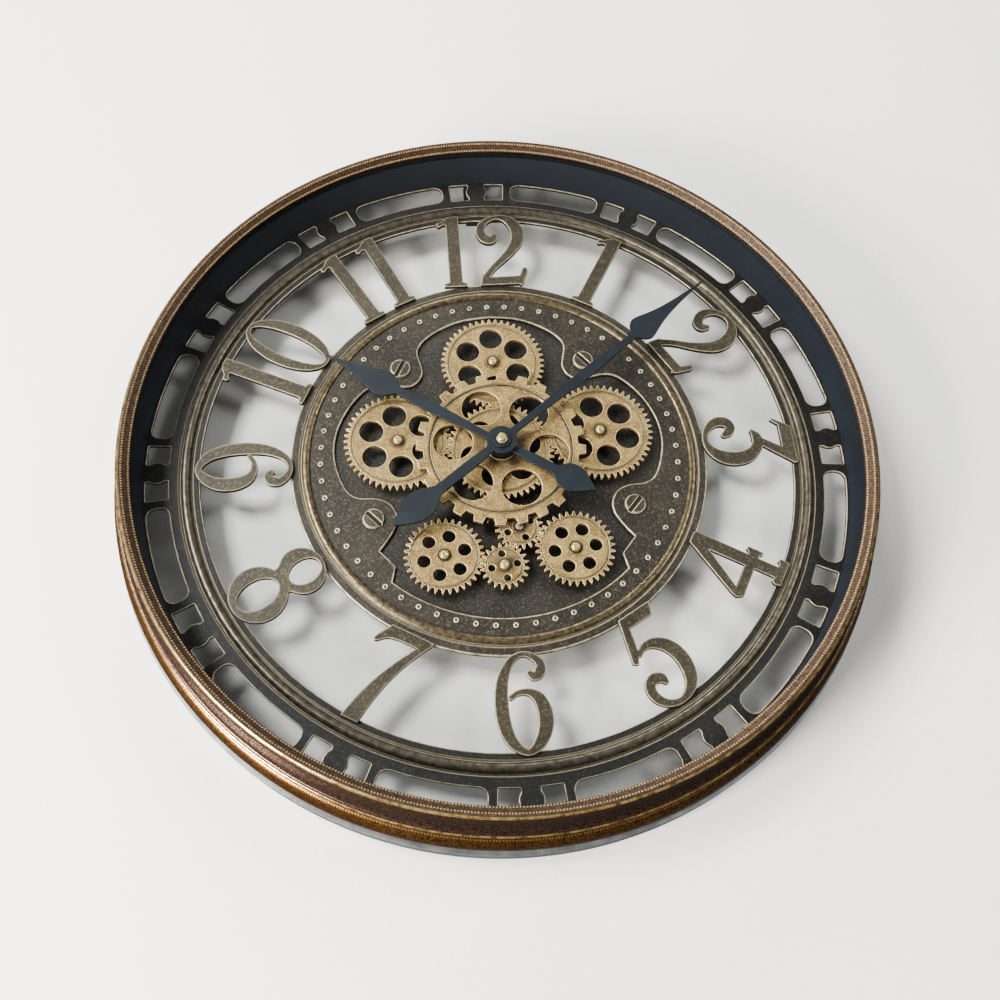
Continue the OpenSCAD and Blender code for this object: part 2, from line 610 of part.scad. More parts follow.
// Pinion and shaft in one piece, driven by the gear motor behind the backplate
module drive_pinion() {
    color([0.7, 0.6, 0.4]) {
        slab(wheel_d, wheel_d + gear_t) translate(pinion_pos) spun(pinion_turn)
            polygon(gear_outline(pinion_teeth, gear_module));
        slab(-10.8, wheel_d) disc_at(pinion_pos, pinion_shaft_r);
    }
}

// --- hands and motion work -----------------------------------------------------------------

module stem_bush() {
    color("goldenrod") turned() polygon([[bush_bore, back_d - 1.2], [9, back_d - 1.2], [9, back_d],
        [bush_r, back_d], [bush_r, bush_top], [bush_bore, bush_top]]);
}
module stem_nut() {
    color("goldenrod") slab(floor_d, floor_d + 3) difference() {
        circle(9, $fn = 6);
        circle(bush_r + 0.02, $fn = 48);
    }
}
module stem_ring() {
    color([0.2, 0.19, 0.17]) slab(bush_top - 1.5, bush_top) difference() {
        circle(8.4, $fn = 48);
        circle(bush_r + 0.02, $fn = 48);
    }
}
motion_d = -12.6;     // layer of the cannon pinion and motion wheel
hour_wheel_d = -10.1; // layer of the hour wheel and motion pinion
layer_t = 2;
hour_module = 2 * norm(motion_pos) / (40 + 10);
motion_turn = mesh_turn(0, 0, 12, 36, 0);
module hour_pipe() {
    hour_wheel_turn = mesh_turn(180, motion_turn, 10, 40, 0);
    color([0.85, 0.83, 0.76]) difference() {
        union() {
            slab(hour_wheel_d, hour_wheel_d + layer_t) spun(hour_wheel_turn)
                polygon(gear_outline(40, hour_module));
            slab(hour_wheel_d + eps, pipe_top) circle(pipe_r, $fn = 48);
        }
        slab(hour_wheel_d - 1, pipe_top + 1) circle(pipe_bore, $fn = 48);
    }
}
module minute_arbor() {
    color("gold") {
        slab(motion_d, motion_d + layer_t) polygon(gear_outline(12, motion_module));
        turned() polygon([[0, -19.4], [1.2, -19.4], [1.2, motion_d + eps], [0, motion_d + eps]]);
        turned() polygon([[0, motion_d + layer_t - eps], [arbor_r, motion_d + layer_t - eps],
            [arbor_r, arbor_top], [0, arbor_top]]);
    }
}
module motion_wheel() {
    color([0.85, 0.83, 0.76]) {
        slab(motion_d, motion_d + layer_t) translate(motion_pos) spun(motion_turn)
            gear_shape(36, motion_module, 1.05);
        slab(motion_d + layer_t - eps, hour_wheel_d + layer_t) translate(motion_pos) spun(motion_turn)
            gear_shape(10, hour_module, 1.05);
    }
}

// Outline of a hand as half widths [along, half width], closed at both ends
function hand_outline(p) = let (c = curve(p, 3))
    concat([for (q = c) [q[1], q[0]]], [for (q = reversed(c)) [-q[1], q[0]]]);
module hand_shape(turn, spade, leaf) {
    spun(turn) {
        polygon(hand_outline(spade));
        polygon(hand_outline(leaf));
    }
}
module hour_hand() {
    spade = [[0, 3], [12, 2.6], [30, 3.4], [60, 4.9], [78, 4.8], [94, 3.6], [98, 4.4], [103, 8.6], [108, 11.2],
        [113, 12], [119, 10.8], [128, 8], [140, 4.8], [152, 2.2], [hour_len, 0.3]];
    leaf = [[-86, 0.4], [-81, 3.6], [-75, 8], [-68, 11.6], [-61, 12], [-55, 9.6], [-51, 5.6], [-47, 4.2],
        [-30, 4.4], [-12, 3.2], [0, 3]];
    color([0.14, 0.19, 0.23]) difference() {
        union() {
            slab(hour_hand_d, hour_hand_d + hand_t) {
                hand_shape(hour_turn, spade, leaf);
                circle(12.4, $fn = 64);
            }
            slab(hour_hand_d + hand_t - eps, pipe_top) circle(6.4, $fn = 48);
        }
        slab(hour_hand_d - 1, pipe_top + 1) circle(pipe_r, $fn = 48);
    }
}
module minute_hand() {
    spade = [[0, 3], [12, 2.8], [50, 3.3], [90, 4.5], [110, 4.4], [140, 3.4], [151, 3], [154, 4.6], [158, 9.4],
        [163, 12], [169, 11.2], [178, 8.4], [190, 5.4], [205, 3.2], [222, 1.5], [minute_len, 0.3]];
    leaf = [[-114, 0.4], [-109, 3.6], [-102, 8.4], [-94, 12], [-86, 12.4], [-78, 10.2], [-72, 6.4], [-67, 4.6],
        [-50, 4.4], [-30, 4.2], [-12, 3.4], [0, 3]];
    color([0.12, 0.17, 0.21]) difference() {
        union() {
            slab(minute_hand_d, minute_hand_d + hand_t) {
                hand_shape(minute_turn, spade, leaf);
                circle(12.5, $fn = 64);
            }
            slab(minute_hand_d + hand_t - eps, minute_hand_d + hand_t + 1.2) circle(7.6, $fn = 48);
        }
        slab(minute_hand_d - 1, arbor_top) circle(arbor_r, $fn = 48);
    }
}
module hand_nut() {
    seat = minute_hand_d + hand_t + 1.2;
    color("khaki") turned() polygon([[arbor_r, seat], [4.4, seat], [4.4, seat + 1], [3.7, seat + 1.2],
        [3.7, 32], [2.8, 32.8], [0, 33.2], [0, arbor_top + 0.1], [arbor_r, arbor_top + 0.1]]);
}

// --- behind the dial -----------------------------------------------------------------------

module box_shape(half, c = 3) {
    polygon([[-half, -half + c], [-half + c, -half], [half - c, -half], [half, -half + c],
        [half, half - c], [half - c, half], [-half + c, half], [-half, half - c]]);
}
bay_top = -10.9;      // partition above the movement's battery
movement_cell = -19.15;
module movement_case() {
    color([0.1, 0.1, 0.1]) {
        slab(back_d - 1.2 - movement_wall, back_d - 1.2) difference() {
            box_shape(movement_half);
            circle(bush_bore + 0.1, $fn = 48);
        }
        slab(movement_d, back_d - 1.2 - movement_wall + eps) difference() {
            box_shape(movement_half);
            difference() {
                box_shape(movement_half - movement_wall, 2.4);
                translate([-movement_half, bay_top - movement_wall / 2])
                    square([2 * movement_half, movement_wall]);
            }
        }
        slab(-15.4, -14.2) difference() {
            translate([-26.9, bay_top]) square([53.8, 37.4]);
            circle(1.3, $fn = 32);
            disc_at(knob_pos, 1.6);
        }
        slab(-14.2 - eps, back_d - 1.2 - movement_wall + eps) disc_at(motion_pos, 1);
    }
}
module movement_cover() {
    color([0.13, 0.13, 0.13]) slab(movement_d - 1.2, movement_d) difference() {
        box_shape(movement_half);
        disc_at(knob_pos, 1.6);
        translate([-26, -26.5]) square([52, 15.1]);
    }
}
module setting_knob() {
    color([0.75, 0.73, 0.7]) {
        slab(motion_d, motion_d + layer_t) translate(knob_pos)
            spun(mesh_turn(90, motion_turn, 36, 12, 0)) polygon(gear_outline(12, motion_module));
        slab(-23.4 - eps, motion_d + eps) disc_at(knob_pos, 1.5);
        slab(-27, -23.4) difference() {
            disc_at(knob_pos, 7);
            for (i = [0 : 17]) disc_at(knob_pos + polar(7.2, i * 20), 0.6);
        }
    }
}
module motor_box() {
    polygon([[-motor_half_w, motor_bottom + 8], [-motor_half_w + 8, motor_bottom],
        [motor_half_w - 8, motor_bottom], [motor_half_w, motor_bottom + 8], [motor_half_w, motor_top],
        [-motor_half_w, motor_top]]);
}
battery_rows = [-85, -103];
module motor_housing() {
    color([0.1, 0.1, 0.1]) {
        slab(back_d - 1.6, back_d) difference() {
            motor_box();
            disc_at(pinion_pos, 3.4);
        }
        slab(motor_d, back_d - 1.6 + eps) difference() {
            motor_box();
            translate([-50.2, -75.2]) square([100.4, 35.4]);
            translate([-26.8, -112.2]) square([53.6, 35.4]);
            for (s = [-1, 1]) translate([s * 39 - 10.6, -110]) square([21.2, 33.2]);
        }
    }
}
module motor_cover() {
    color([0.13, 0.13, 0.13]) slab(motor_d - 1.4, motor_d) difference() {
        motor_box();
        for (z = battery_rows) translate([-26, z - 7.55]) square([52, 15.1]);
        translate(switch_pos) square([9, 4.4], center = true);
    }
}
module gear_motor() {
    color("silver") {
        slab(motor_d + 0.1, -11) disc_at(pinion_pos, 11);
        slab(-11 - eps, back_d - 1.6) difference() {
            disc_at(pinion_pos, 5);
            disc_at(pinion_pos, pinion_shaft_r + run);
        }
    }
}
module switch_slider() {
    color("dimgray") {
        slab(motor_d + 0.1, motor_d + 2.3) translate(switch_pos) square([14, 8], center = true);
        slab(motor_d - 3, motor_d + 0.1 + eps) translate(switch_pos + [-2.2, 0]) square([4, 4], center = true);
    }
}
module cell(pos, d) {
    translate([pos[0] - battery_l / 2, -dial_depth - d, pos[1] - keyhole_rise]) rotate([0, 90, 0]) {
        cylinder(r = battery_r, h = battery_l - 1.2, $fn = 48);
        cylinder(r = 2.7, h = battery_l, $fn = 48);
    }
}
module batteries() {
    color("orange") {
        cell([0, movement_cell], -15.2);
        for (z = battery_rows) cell([0, z], -17);
    }
}
// Bent contact strip at the end of a cell, seen from the back
module contact(z) {
    polygon([[26.7, z - 5], [26.7, z + 5], [26.3, z + 5], [26.3, z + 2.4], [25.4, z + 0.8], [25.4, z - 0.8],
        [26.3, z - 2.4], [26.3, z - 5]]);
}
module battery_contacts() {
    color("silver") for (s = [0, 1]) {
        slab(-20, -10) mirror([s, 0]) contact(movement_cell);
        for (z = battery_rows) slab(-22, -12) mirror([s, 0]) contact(z);
    }
}

// --- nodes ---------------------------------------------------------------------------------

bezel();
glass();
glass_seal();
inner_liner();
rear_band();
rear_flange();
case_fixings();
hanger();
hanger_plate();
track_plate();
track_bead();
numeral(1);  // numeral_1
numeral(2);  // numeral_2
numeral(3);  // numeral_3
numeral(4);  // numeral_4
numeral(5);  // numeral_5
numeral(6);  // numeral_6
numeral(7);  // numeral_7
numeral(8);  // numeral_8
numeral(9);  // numeral_9
numeral(10);  // numeral_10
numeral(11);  // numeral_11
numeral(12);  // numeral_12
dial_surround();
disc_bead();
dial_studs();
dial_screws();
backplate();
gear_posts();
post_washers();
post_screws();
centre_gear();
centre_wheel();
centre_hub();
top_gear();
left_gear();
right_gear();
lower_left_gear();
lower_right_gear();
small_gear();
idler_gear();
drive_pinion();
stem_bush();
stem_nut();
stem_ring();
hour_pipe();
hour_hand();
minute_arbor();
minute_hand();
hand_nut();
motion_wheel();
movement_case();
movement_cover();
setting_knob();
motor_housing();
motor_cover();
gear_motor();
switch_slider();
batteries();
battery_contacts();
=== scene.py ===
import json
import math

import bmesh
import bpy
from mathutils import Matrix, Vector


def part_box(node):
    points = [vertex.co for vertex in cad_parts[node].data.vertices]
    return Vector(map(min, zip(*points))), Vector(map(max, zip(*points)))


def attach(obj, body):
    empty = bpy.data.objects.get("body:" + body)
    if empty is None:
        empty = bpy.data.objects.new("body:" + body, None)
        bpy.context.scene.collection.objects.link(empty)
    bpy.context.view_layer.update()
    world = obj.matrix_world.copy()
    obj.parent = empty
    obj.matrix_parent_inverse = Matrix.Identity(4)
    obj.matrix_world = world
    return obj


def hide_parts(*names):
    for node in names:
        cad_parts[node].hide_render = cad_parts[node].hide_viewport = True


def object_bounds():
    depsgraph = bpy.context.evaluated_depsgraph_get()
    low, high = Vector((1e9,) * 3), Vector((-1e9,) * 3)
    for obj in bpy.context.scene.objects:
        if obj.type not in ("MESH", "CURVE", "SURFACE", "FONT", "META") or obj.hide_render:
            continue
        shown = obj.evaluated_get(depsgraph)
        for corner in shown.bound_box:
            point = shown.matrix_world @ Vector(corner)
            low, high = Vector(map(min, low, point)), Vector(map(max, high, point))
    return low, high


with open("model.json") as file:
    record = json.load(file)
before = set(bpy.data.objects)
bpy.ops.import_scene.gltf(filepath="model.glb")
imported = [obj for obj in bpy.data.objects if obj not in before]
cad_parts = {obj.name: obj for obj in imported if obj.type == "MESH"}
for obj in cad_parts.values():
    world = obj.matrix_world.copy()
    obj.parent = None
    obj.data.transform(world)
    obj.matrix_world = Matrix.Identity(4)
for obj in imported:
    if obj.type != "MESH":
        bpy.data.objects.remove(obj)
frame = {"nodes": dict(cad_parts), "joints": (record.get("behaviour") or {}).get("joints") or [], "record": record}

# Looks of a round skeleton wall clock.  Its front faces -Y and 12 o'clock is +Z.
# r is a distance from the dial's axis and d a height above the dial's face.  Lengths given to
# the helpers are in millimetres, colours are display values and the frame itself is in metres.

MM = 0.001
CAD_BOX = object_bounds()
GLASS_LOW, GLASS_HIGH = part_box("glass")
DIAL_X = (GLASS_LOW.x + GLASS_HIGH.x) / 2
DIAL_Z = (GLASS_LOW.z + GLASS_HIGH.z) / 2
DIAL_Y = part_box("numeral_12")[1].y
DIAL = Vector((DIAL_X, DIAL_Y, DIAL_Z))
WALL_D = (DIAL_Y - CAD_BOX[1].y) / MM
GLASS_BACK = (DIAL_Y - GLASS_HIGH.y) / MM
GLASS_FRONT = (DIAL_Y - GLASS_LOW.y) / MM
GLASS_R = (GLASS_HIGH.x - GLASS_LOW.x) / 2 / MM
BAND_R = (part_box("rear_band")[1].x - DIAL_X) / MM


# --- materials ------------------------------------------------------------------------------

def srgb(r, g, b):
    """A colour given as 0..255 display values, as linear light."""
    linear = [((c / 255 + 0.055) / 1.055) ** 2.4 if c > 10 else c / 255 / 12.92 for c in (r, g, b)]
    return (*linear, 1.0)


class Nodes:
    """A material's node tree, with one short method for each kind of node that the looks use."""

    def __init__(self, name):
        self.material = bpy.data.materials.new(name)
        self.material.use_nodes = True
        self.tree = self.material.node_tree
        self.tree.nodes.clear()
        self.place = self.add("ShaderNodeTexCoord").outputs["Object"]

    def add(self, kind, **inputs):
        node = self.tree.nodes.new(kind)
        for name, value in inputs.items():
            self.put(node.inputs[name.replace("_", " ")], value)
        return node

    def put(self, socket, value):
        if isinstance(value, bpy.types.NodeSocket):
            self.tree.links.new(value, socket)
        else:
            socket.default_value = value

    def noise(self, size, detail=3.0, rough=0.5, place=None, distort=0.0):
        """Noise of about `size` millimetres."""
        node = self.add("ShaderNodeTexNoise", Vector=place or self.place, Scale=1 / (size * MM),
                        Detail=detail, Roughness=rough, Distortion=distort)
        return node.outputs["Fac"]

    def ramp(self, fac, low, high, a=0.0, b=1.0):
        """Maps fac from low..high to a..b, and holds it there."""
        node = self.add("ShaderNodeMapRange", Value=fac, From_Min=low, From_Max=high, To_Min=a, To_Max=b)
        return node.outputs["Result"]

    def math(self, operation, a, b=0.0):
        node = self.add("ShaderNodeMath")
        node.operation = operation
        self.put(node.inputs[0], a)
        self.put(node.inputs[1], b)
        return node.outputs[0]

    def mix(self, fac, a, b):
        node = self.add("ShaderNodeMix")
        node.data_type = "RGBA"
        for socket, value in zip((node.inputs[0], node.inputs[6], node.inputs[7]), (fac, a, b)):
            self.put(socket, value)
        return node.outputs[2]

    def bump(self, height, depth, normal=None):
        """Bump of `depth` millimetres."""
        node = self.add("ShaderNodeBump", Height=height, Strength=1.0, Distance=depth * MM)
        if normal:
            self.put(node.inputs["Normal"], normal)
        return node.outputs["Normal"]

    def from_axis(self, centre):
        """Distance in millimetres from an axis along Y through centre."""
        shift = self.add("ShaderNodeVectorMath")
        shift.operation = "SUBTRACT"
        self.put(shift.inputs[0], self.place)
        shift.inputs[1].default_value = centre
        flat = self.add("ShaderNodeVectorMath")
        flat.operation = "MULTIPLY"
        self.put(flat.inputs[0], shift.outputs[0])
        flat.inputs[1].default_value = (1 / MM, 0, 1 / MM)
        length = self.add("ShaderNodeVectorMath")
        length.operation = "LENGTH"
        self.put(length.inputs[0], flat.outputs[0])
        return length.outputs["Value"]

    def rounded(self, width):
        """The normal as if every edge had a radius of `width` millimetres."""
        node = self.add("ShaderNodeBevel", Radius=width * MM)
        node.samples = 6
        return node.outputs["Normal"]

    def edge(self, rounded):
        """1 along the edges that `rounded` softens and 0 on the flats."""
        dot = self.add("ShaderNodeVectorMath")
        dot.operation = "DOT_PRODUCT"
        self.put(dot.inputs[0], rounded)
        self.put(dot.inputs[1], self.add("ShaderNodeNewGeometry").outputs["True Normal"])
        return self.ramp(dot.outputs["Value"], 0.995, 0.9)

    def surface(self, colour, rough, metallic=0.0, normal=None, **inputs):
        shader = self.add("ShaderNodeBsdfPrincipled", Base_Color=colour, Roughness=rough, **inputs)
        shader.inputs["Metallic"].default_value = metallic
        if normal:
            self.put(shader.inputs["Normal"], normal)
        self.put(self.add("ShaderNodeOutputMaterial").inputs["Surface"], shader.outputs[0])
        return self.material


def pewter(name, dark, pale, worn_width, speck=0.5, gloss=0.36):
    """Antique pewter: satin olive grey with brown stains and a cast grain, rubbed pale along its edges."""
    n = Nodes(name)
    stain = n.noise(38, 4, 0.6)
    grain = n.noise(1.7, 3, 0.7)
    patch = n.noise(5, 4, 0.6, distort=0.4)
    colour = n.mix(n.ramp(stain, 0.38, 0.62), dark, pale)
    colour = n.mix(n.ramp(patch, 0.48, 0.7, 0, 0.6), colour, srgb(40, 33, 25))
    colour = n.mix(n.ramp(grain, 0.53, 0.66, 0, speck), colour, srgb(128, 118, 94))
    soft = n.rounded(worn_width)
    rub = n.math("MULTIPLY", n.edge(soft), n.ramp(n.noise(4, 4, 0.65), 0.3, 0.55, 0.65, 1))
    colour = n.mix(rub, colour, srgb(186, 172, 142))
    rough = n.ramp(patch, 0.3, 0.7, gloss, gloss + 0.16)
    return n.surface(colour, rough, 0.3, n.bump(n.mix(0.35, grain, patch), 0.14, soft))


def rubbed_pewter():
    """The rubbed edges of the pewter pieces: pale where hands and cloth have worn them."""
    n = Nodes("rubbed_pewter")
    wear = n.noise(6, 4, 0.65)
    grain = n.noise(1.2, 2, 0.5)
    colour = n.mix(n.ramp(wear, 0.34, 0.56), srgb(126, 114, 92), srgb(190, 176, 148))
    colour = n.mix(n.ramp(grain, 0.56, 0.74, 0, 0.5), colour, srgb(76, 66, 50))
    return n.surface(colour, n.ramp(wear, 0.3, 0.7, 0.42, 0.3), 0.3, n.bump(grain, 0.05))


def patina_and_wall_shade():
    """Dark brown: patina left in grooves, and painted shade on walls."""
    n = Nodes("patina_and_wall_shade")
    grain = n.noise(1.6, 4, 0.6)
    tone = srgb(30, 22, 16)
    dusty = tuple(c * 2.1 for c in tone[:3]) + (1,)
    colour = n.mix(n.ramp(grain, 0.4, 0.7), tone, dusty)
    return n.surface(colour, n.ramp(grain, 0.3, 0.7, 0.55, 0.75), 0.2, n.bump(grain, 0.08))


def bead_gold():
    """Raised beads of the dial: rubbed bronze-gold over brown."""
    n = Nodes("bead_gold")
    wear = n.noise(4, 5, 0.65, distort=0.3)
    grain = n.noise(0.8, 3, 0.6)
    colour = n.mix(n.ramp(wear, 0.38, 0.62), srgb(70, 61, 47), srgb(124, 111, 85))
    colour = n.mix(n.ramp(grain, 0.55, 0.75, 0, 0.6), colour, srgb(48, 36, 24))
    return n.surface(colour, n.ramp(wear, 0.3, 0.7, 0.4, 0.28), 0.7, n.bump(grain, 0.06))


def track_bronze():
    """The minute track's bead: dull bronze-grey, rubbed a little on top."""
    n = Nodes("track_bronze")
    wear = n.noise(5, 5, 0.65, distort=0.3)
    grain = n.noise(0.9, 3, 0.6)
    colour = n.mix(n.ramp(wear, 0.36, 0.64), srgb(62, 58, 50), srgb(106, 98, 84))
    colour = n.mix(n.ramp(grain, 0.56, 0.74, 0, 0.5), colour, srgb(38, 33, 27))
    return n.surface(colour, n.ramp(wear, 0.3, 0.7, 0.4, 0.3), 0.6, n.bump(grain, 0.06))


COARSE_GROOVE, FINE_GROOVE = 1.4, 1.0


def gear_brass(name, centre, reach, dark_hub, groove_r):
    """Pale antique brass of one gear: brown specks, a bloom round its hub and a dark engraved ring."""
    n = Nodes(name)
    r = n.from_axis(centre)
    cloud = n.noise(14, 4, 0.6, distort=0.3)
    grain = n.noise(1.5, 3, 0.7)
    glint = n.noise(1.1, 2, 0.6, distort=0.4)
    fleck = n.noise(2.8, 5, 0.7)
    colour = n.mix(n.ramp(cloud, 0.36, 0.64), srgb(126, 102, 64), srgb(178, 154, 102))
    colour = n.mix(n.ramp(grain, 0.48, 0.6, 0, 0.5), colour, srgb(100, 76, 46))
    colour = n.mix(n.ramp(glint, 0.56, 0.66, 0, 0.65), colour, srgb(222, 200, 150))
    colour = n.mix(n.ramp(fleck, 0.62, 0.72, 0, 0.7), colour, srgb(66, 46, 30))
    uneven = n.ramp(cloud, 0.3, 0.7, -0.28, 0.28)
    bloom = n.math("ADD", n.ramp(r, reach * 0.1, reach * dark_hub, 1, 0), uneven)
    colour = n.mix(n.ramp(bloom, 0.22, 0.85, 0, 0.88), colour, srgb(62, 46, 37))
    half = COARSE_GROOVE if reach > 60 else FINE_GROOVE
    ring = n.math("ABSOLUTE", n.math("SUBTRACT", r, groove_r))
    colour = n.mix(n.ramp(ring, half * 0.6, half * 1.5, 0.92, 0), colour, srgb(38, 26, 18))
    soft = n.rounded(0.7)
    colour = n.mix(n.math("MULTIPLY", n.edge(soft), 0.75), colour, srgb(238, 214, 164))
    rough = n.ramp(cloud, 0.3, 0.7, 0.46, 0.34)
    return n.surface(colour, rough, 0.4, n.bump(n.mix(0.4, grain, fleck), 0.1, soft))


def brown_brass_wall_shade():
    """Walls of the teeth and holes: the same brass painted darker brown as shade."""
    n = Nodes("brown_brass_wall_shade")
    wash = n.noise(3, 4, 0.6)
    colour = n.mix(n.ramp(wash, 0.38, 0.66), srgb(112, 84, 54), srgb(178, 148, 104))
    return n.surface(colour, n.ramp(wash, 0.3, 0.7, 0.5, 0.62), 0.4, n.bump(wash, 0.1))


def gear_edge():
    """Bright rubbed edges of the gears."""
    n = Nodes("gear_edge")
    wear = n.noise(5, 3, 0.6)
    colour = n.mix(n.ramp(wear, 0.35, 0.6), srgb(204, 174, 120), srgb(238, 216, 170))
    return n.surface(colour, n.ramp(wear, 0.3, 0.7, 0.38, 0.26), 0.4, n.bump(wear, 0.04))


def dark_brass():
    """Hub collars and washers: brass gone dark brown, with a few rubbed spots."""
    n = Nodes("dark_brass")
    patch = n.noise(2.4, 4, 0.6)
    colour = n.mix(n.ramp(patch, 0.42, 0.68), srgb(44, 34, 26), srgb(104, 84, 60))
    return n.surface(colour, n.ramp(patch, 0.3, 0.7, 0.45, 0.34), 0.75, n.bump(patch, 0.06))


def pale_brass():
    """Turned pale brass of the caps and the hands' nut."""
    n = Nodes("pale_brass")
    wear = n.noise(1.8, 3, 0.6)
    scratch = n.noise(0.5, 2, 0.5)
    colour = n.mix(n.ramp(wear, 0.4, 0.7), srgb(168, 154, 108), srgb(206, 194, 150))
    colour = n.mix(n.ramp(scratch, 0.6, 0.8, 0, 0.4), colour, srgb(132, 106, 66))
    return n.surface(colour, n.ramp(wear, 0.3, 0.7, 0.34, 0.24), 0.55, n.bump(scratch, 0.02))


def hand_navy():
    """Hands: dark navy satin lacquer with a fine orange peel."""
    n = Nodes("hand_navy")
    peel = n.noise(1.3, 2, 0.4)
    cloud = n.noise(22, 3, 0.5)
    colour = n.mix(n.ramp(cloud, 0.35, 0.65), srgb(13, 21, 28), srgb(20, 30, 39))
    return n.surface(colour, n.ramp(peel, 0.3, 0.7, 0.42, 0.54), 0.2, n.bump(peel, 0.03), Coat_Weight=0.15,
                     Coat_Roughness=0.3)


def navy_lining():
    """Inside wall and hanger strap: blue-black satin paint with dust."""
    n = Nodes("navy_lining")
    peel = n.noise(2.2, 3, 0.5)
    dust = n.noise(0.8, 2, 0.5)
    colour = n.mix(n.ramp(n.noise(60, 3, 0.5), 0.35, 0.65), srgb(12, 18, 27), srgb(18, 26, 37))
    colour = n.mix(n.ramp(dust, 0.68, 0.8, 0, 0.25), colour, srgb(70, 77, 86))
    return n.surface(colour, n.ramp(peel, 0.3, 0.7, 0.62, 0.74), 0.0, n.bump(peel, 0.06))


def band_steel():
    """Rear band: grey-blue satin paint on rolled steel, slightly scuffed."""
    n = Nodes("band_steel")
    drawn = n.add("ShaderNodeMapping", Vector=n.place)
    drawn.inputs["Scale"].default_value = (0.2, 3.0, 0.2)
    streak = n.noise(2.5, 4, 0.6, drawn.outputs[0])
    scuff = n.noise(12, 5, 0.7)
    colour = n.mix(n.ramp(streak, 0.35, 0.65), srgb(104, 108, 110), srgb(130, 134, 136))
    colour = n.mix(n.ramp(scuff, 0.6, 0.76, 0, 0.6), colour, srgb(84, 84, 80))
    return n.surface(colour, n.ramp(streak, 0.3, 0.7, 0.36, 0.5), 0.6, n.bump(streak, 0.03))


def knurl(n, rows, pitch, half):
    """1 on the dashes of fine knurled rows round the dial's axis, at the radii in rows."""
    shift = n.add("ShaderNodeVectorMath")
    shift.operation = "SUBTRACT"
    n.put(shift.inputs[0], n.place)
    shift.inputs[1].default_value = (DIAL_X, DIAL_Y, DIAL_Z)
    parts = n.add("ShaderNodeSeparateXYZ", Vector=shift.outputs[0])
    turn = n.math("ARCTAN2", parts.outputs["X"], parts.outputs["Z"])
    r = n.from_axis((DIAL_X, DIAL_Y, DIAL_Z))
    total = None
    for row in rows:
        wave = n.math("SINE", n.math("MULTIPLY", turn, round(2 * math.pi * row / pitch)))
        near = n.ramp(n.math("ABSOLUTE", n.math("SUBTRACT", r, row)), half * 0.6, half * 1.3, 1, 0)
        dash = n.math("MULTIPLY", near, n.ramp(wave, -0.5, 0.5))
        total = dash if total is None else n.math("MAXIMUM", total, dash)
    return total


def rim_gold():
    """Rim: antique gold over dark brown, finely speckled like sponged paint."""
    n = Nodes("rim_gold")
    cloud = n.noise(30, 5, 0.65, distort=0.4)
    sponge = n.noise(2.4, 4, 0.75, distort=0.3)
    grain = n.noise(0.9, 3, 0.6)
    colour = n.mix(n.ramp(sponge, 0.38, 0.6), srgb(66, 43, 26), srgb(138, 102, 62))
    colour = n.mix(n.ramp(cloud, 0.42, 0.68, 0, 0.5), colour, srgb(94, 61, 34))
    colour = n.mix(n.ramp(grain, 0.56, 0.72, 0, 0.6), colour, srgb(36, 23, 12))
    rough = n.math("ADD", n.ramp(sponge, 0.3, 0.7, 0.34, 0.2), n.ramp(grain, 0.5, 0.8, 0, 0.2))
    dashes = knurl(n, (307.6,), 2.3, 0.5)
    colour = n.mix(n.math("MULTIPLY", dashes, 0.5), colour, srgb(210, 178, 118))
    return n.surface(colour, rough, 0.85, n.bump(n.mix(0.5, sponge, grain), 0.16))


def rim_lip():
    """Lip of the rim: dark brown and gold with fine rows of knurled dashes."""
    n = Nodes("rim_lip")
    sponge = n.noise(2.2, 4, 0.75, distort=0.3)
    grain = n.noise(0.8, 3, 0.6)
    dashes = knurl(n, (290.0, 294.6), 2.3, 0.55)
    colour = n.mix(n.ramp(sponge, 0.4, 0.6), srgb(26, 17, 10), srgb(68, 48, 25))
    colour = n.mix(n.ramp(grain, 0.54, 0.7, 0, 0.6), colour, srgb(26, 17, 11))
    rub = n.math("MULTIPLY", dashes, n.ramp(sponge, 0.4, 0.6, 0.45, 0.9))
    colour = n.mix(rub, colour, srgb(172, 146, 102))
    rough = n.ramp(sponge, 0.3, 0.7, 0.6, 0.46)
    height = n.math("ADD", dashes, n.math("MULTIPLY", sponge, 0.5))
    return n.surface(colour, rough, 0.45, n.bump(height, 0.2))


def rim_brown():
    """Cove and grooves of the rim: dark brown with a dull shine."""
    n = Nodes("rim_brown")
    sponge = n.noise(2.2, 4, 0.7)
    grain = n.noise(0.8, 3, 0.6)
    colour = n.mix(n.ramp(sponge, 0.42, 0.68), srgb(62, 46, 40), srgb(106, 84, 72))
    colour = n.mix(n.ramp(grain, 0.66, 0.78, 0, 0.5), colour, srgb(160, 130, 92))
    rough = n.ramp(sponge, 0.3, 0.7, 0.32, 0.22)
    return n.surface(colour, rough, 0.75, n.bump(n.mix(0.5, sponge, grain), 0.08))


def rim_line():
    """Rubbed high lines of the rim, bright gold."""
    n = Nodes("rim_line")
    wear = n.noise(7, 4, 0.7)
    colour = n.mix(n.ramp(wear, 0.36, 0.6), srgb(104, 82, 50), srgb(200, 172, 120))
    return n.surface(colour, n.ramp(wear, 0.3, 0.7, 0.32, 0.2), 0.8, n.bump(n.noise(1.1), 0.06))


def zinc():
    """Zinc-plated steel of screws, posts and clips."""
    n = Nodes("zinc")
    spangle = n.noise(1.6, 3, 0.6)
    colour = n.mix(n.ramp(spangle, 0.35, 0.65), srgb(150, 152, 152), srgb(196, 198, 198))
    return n.surface(colour, n.ramp(spangle, 0.3, 0.7, 0.28, 0.42), 0.9, n.bump(spangle, 0.03))


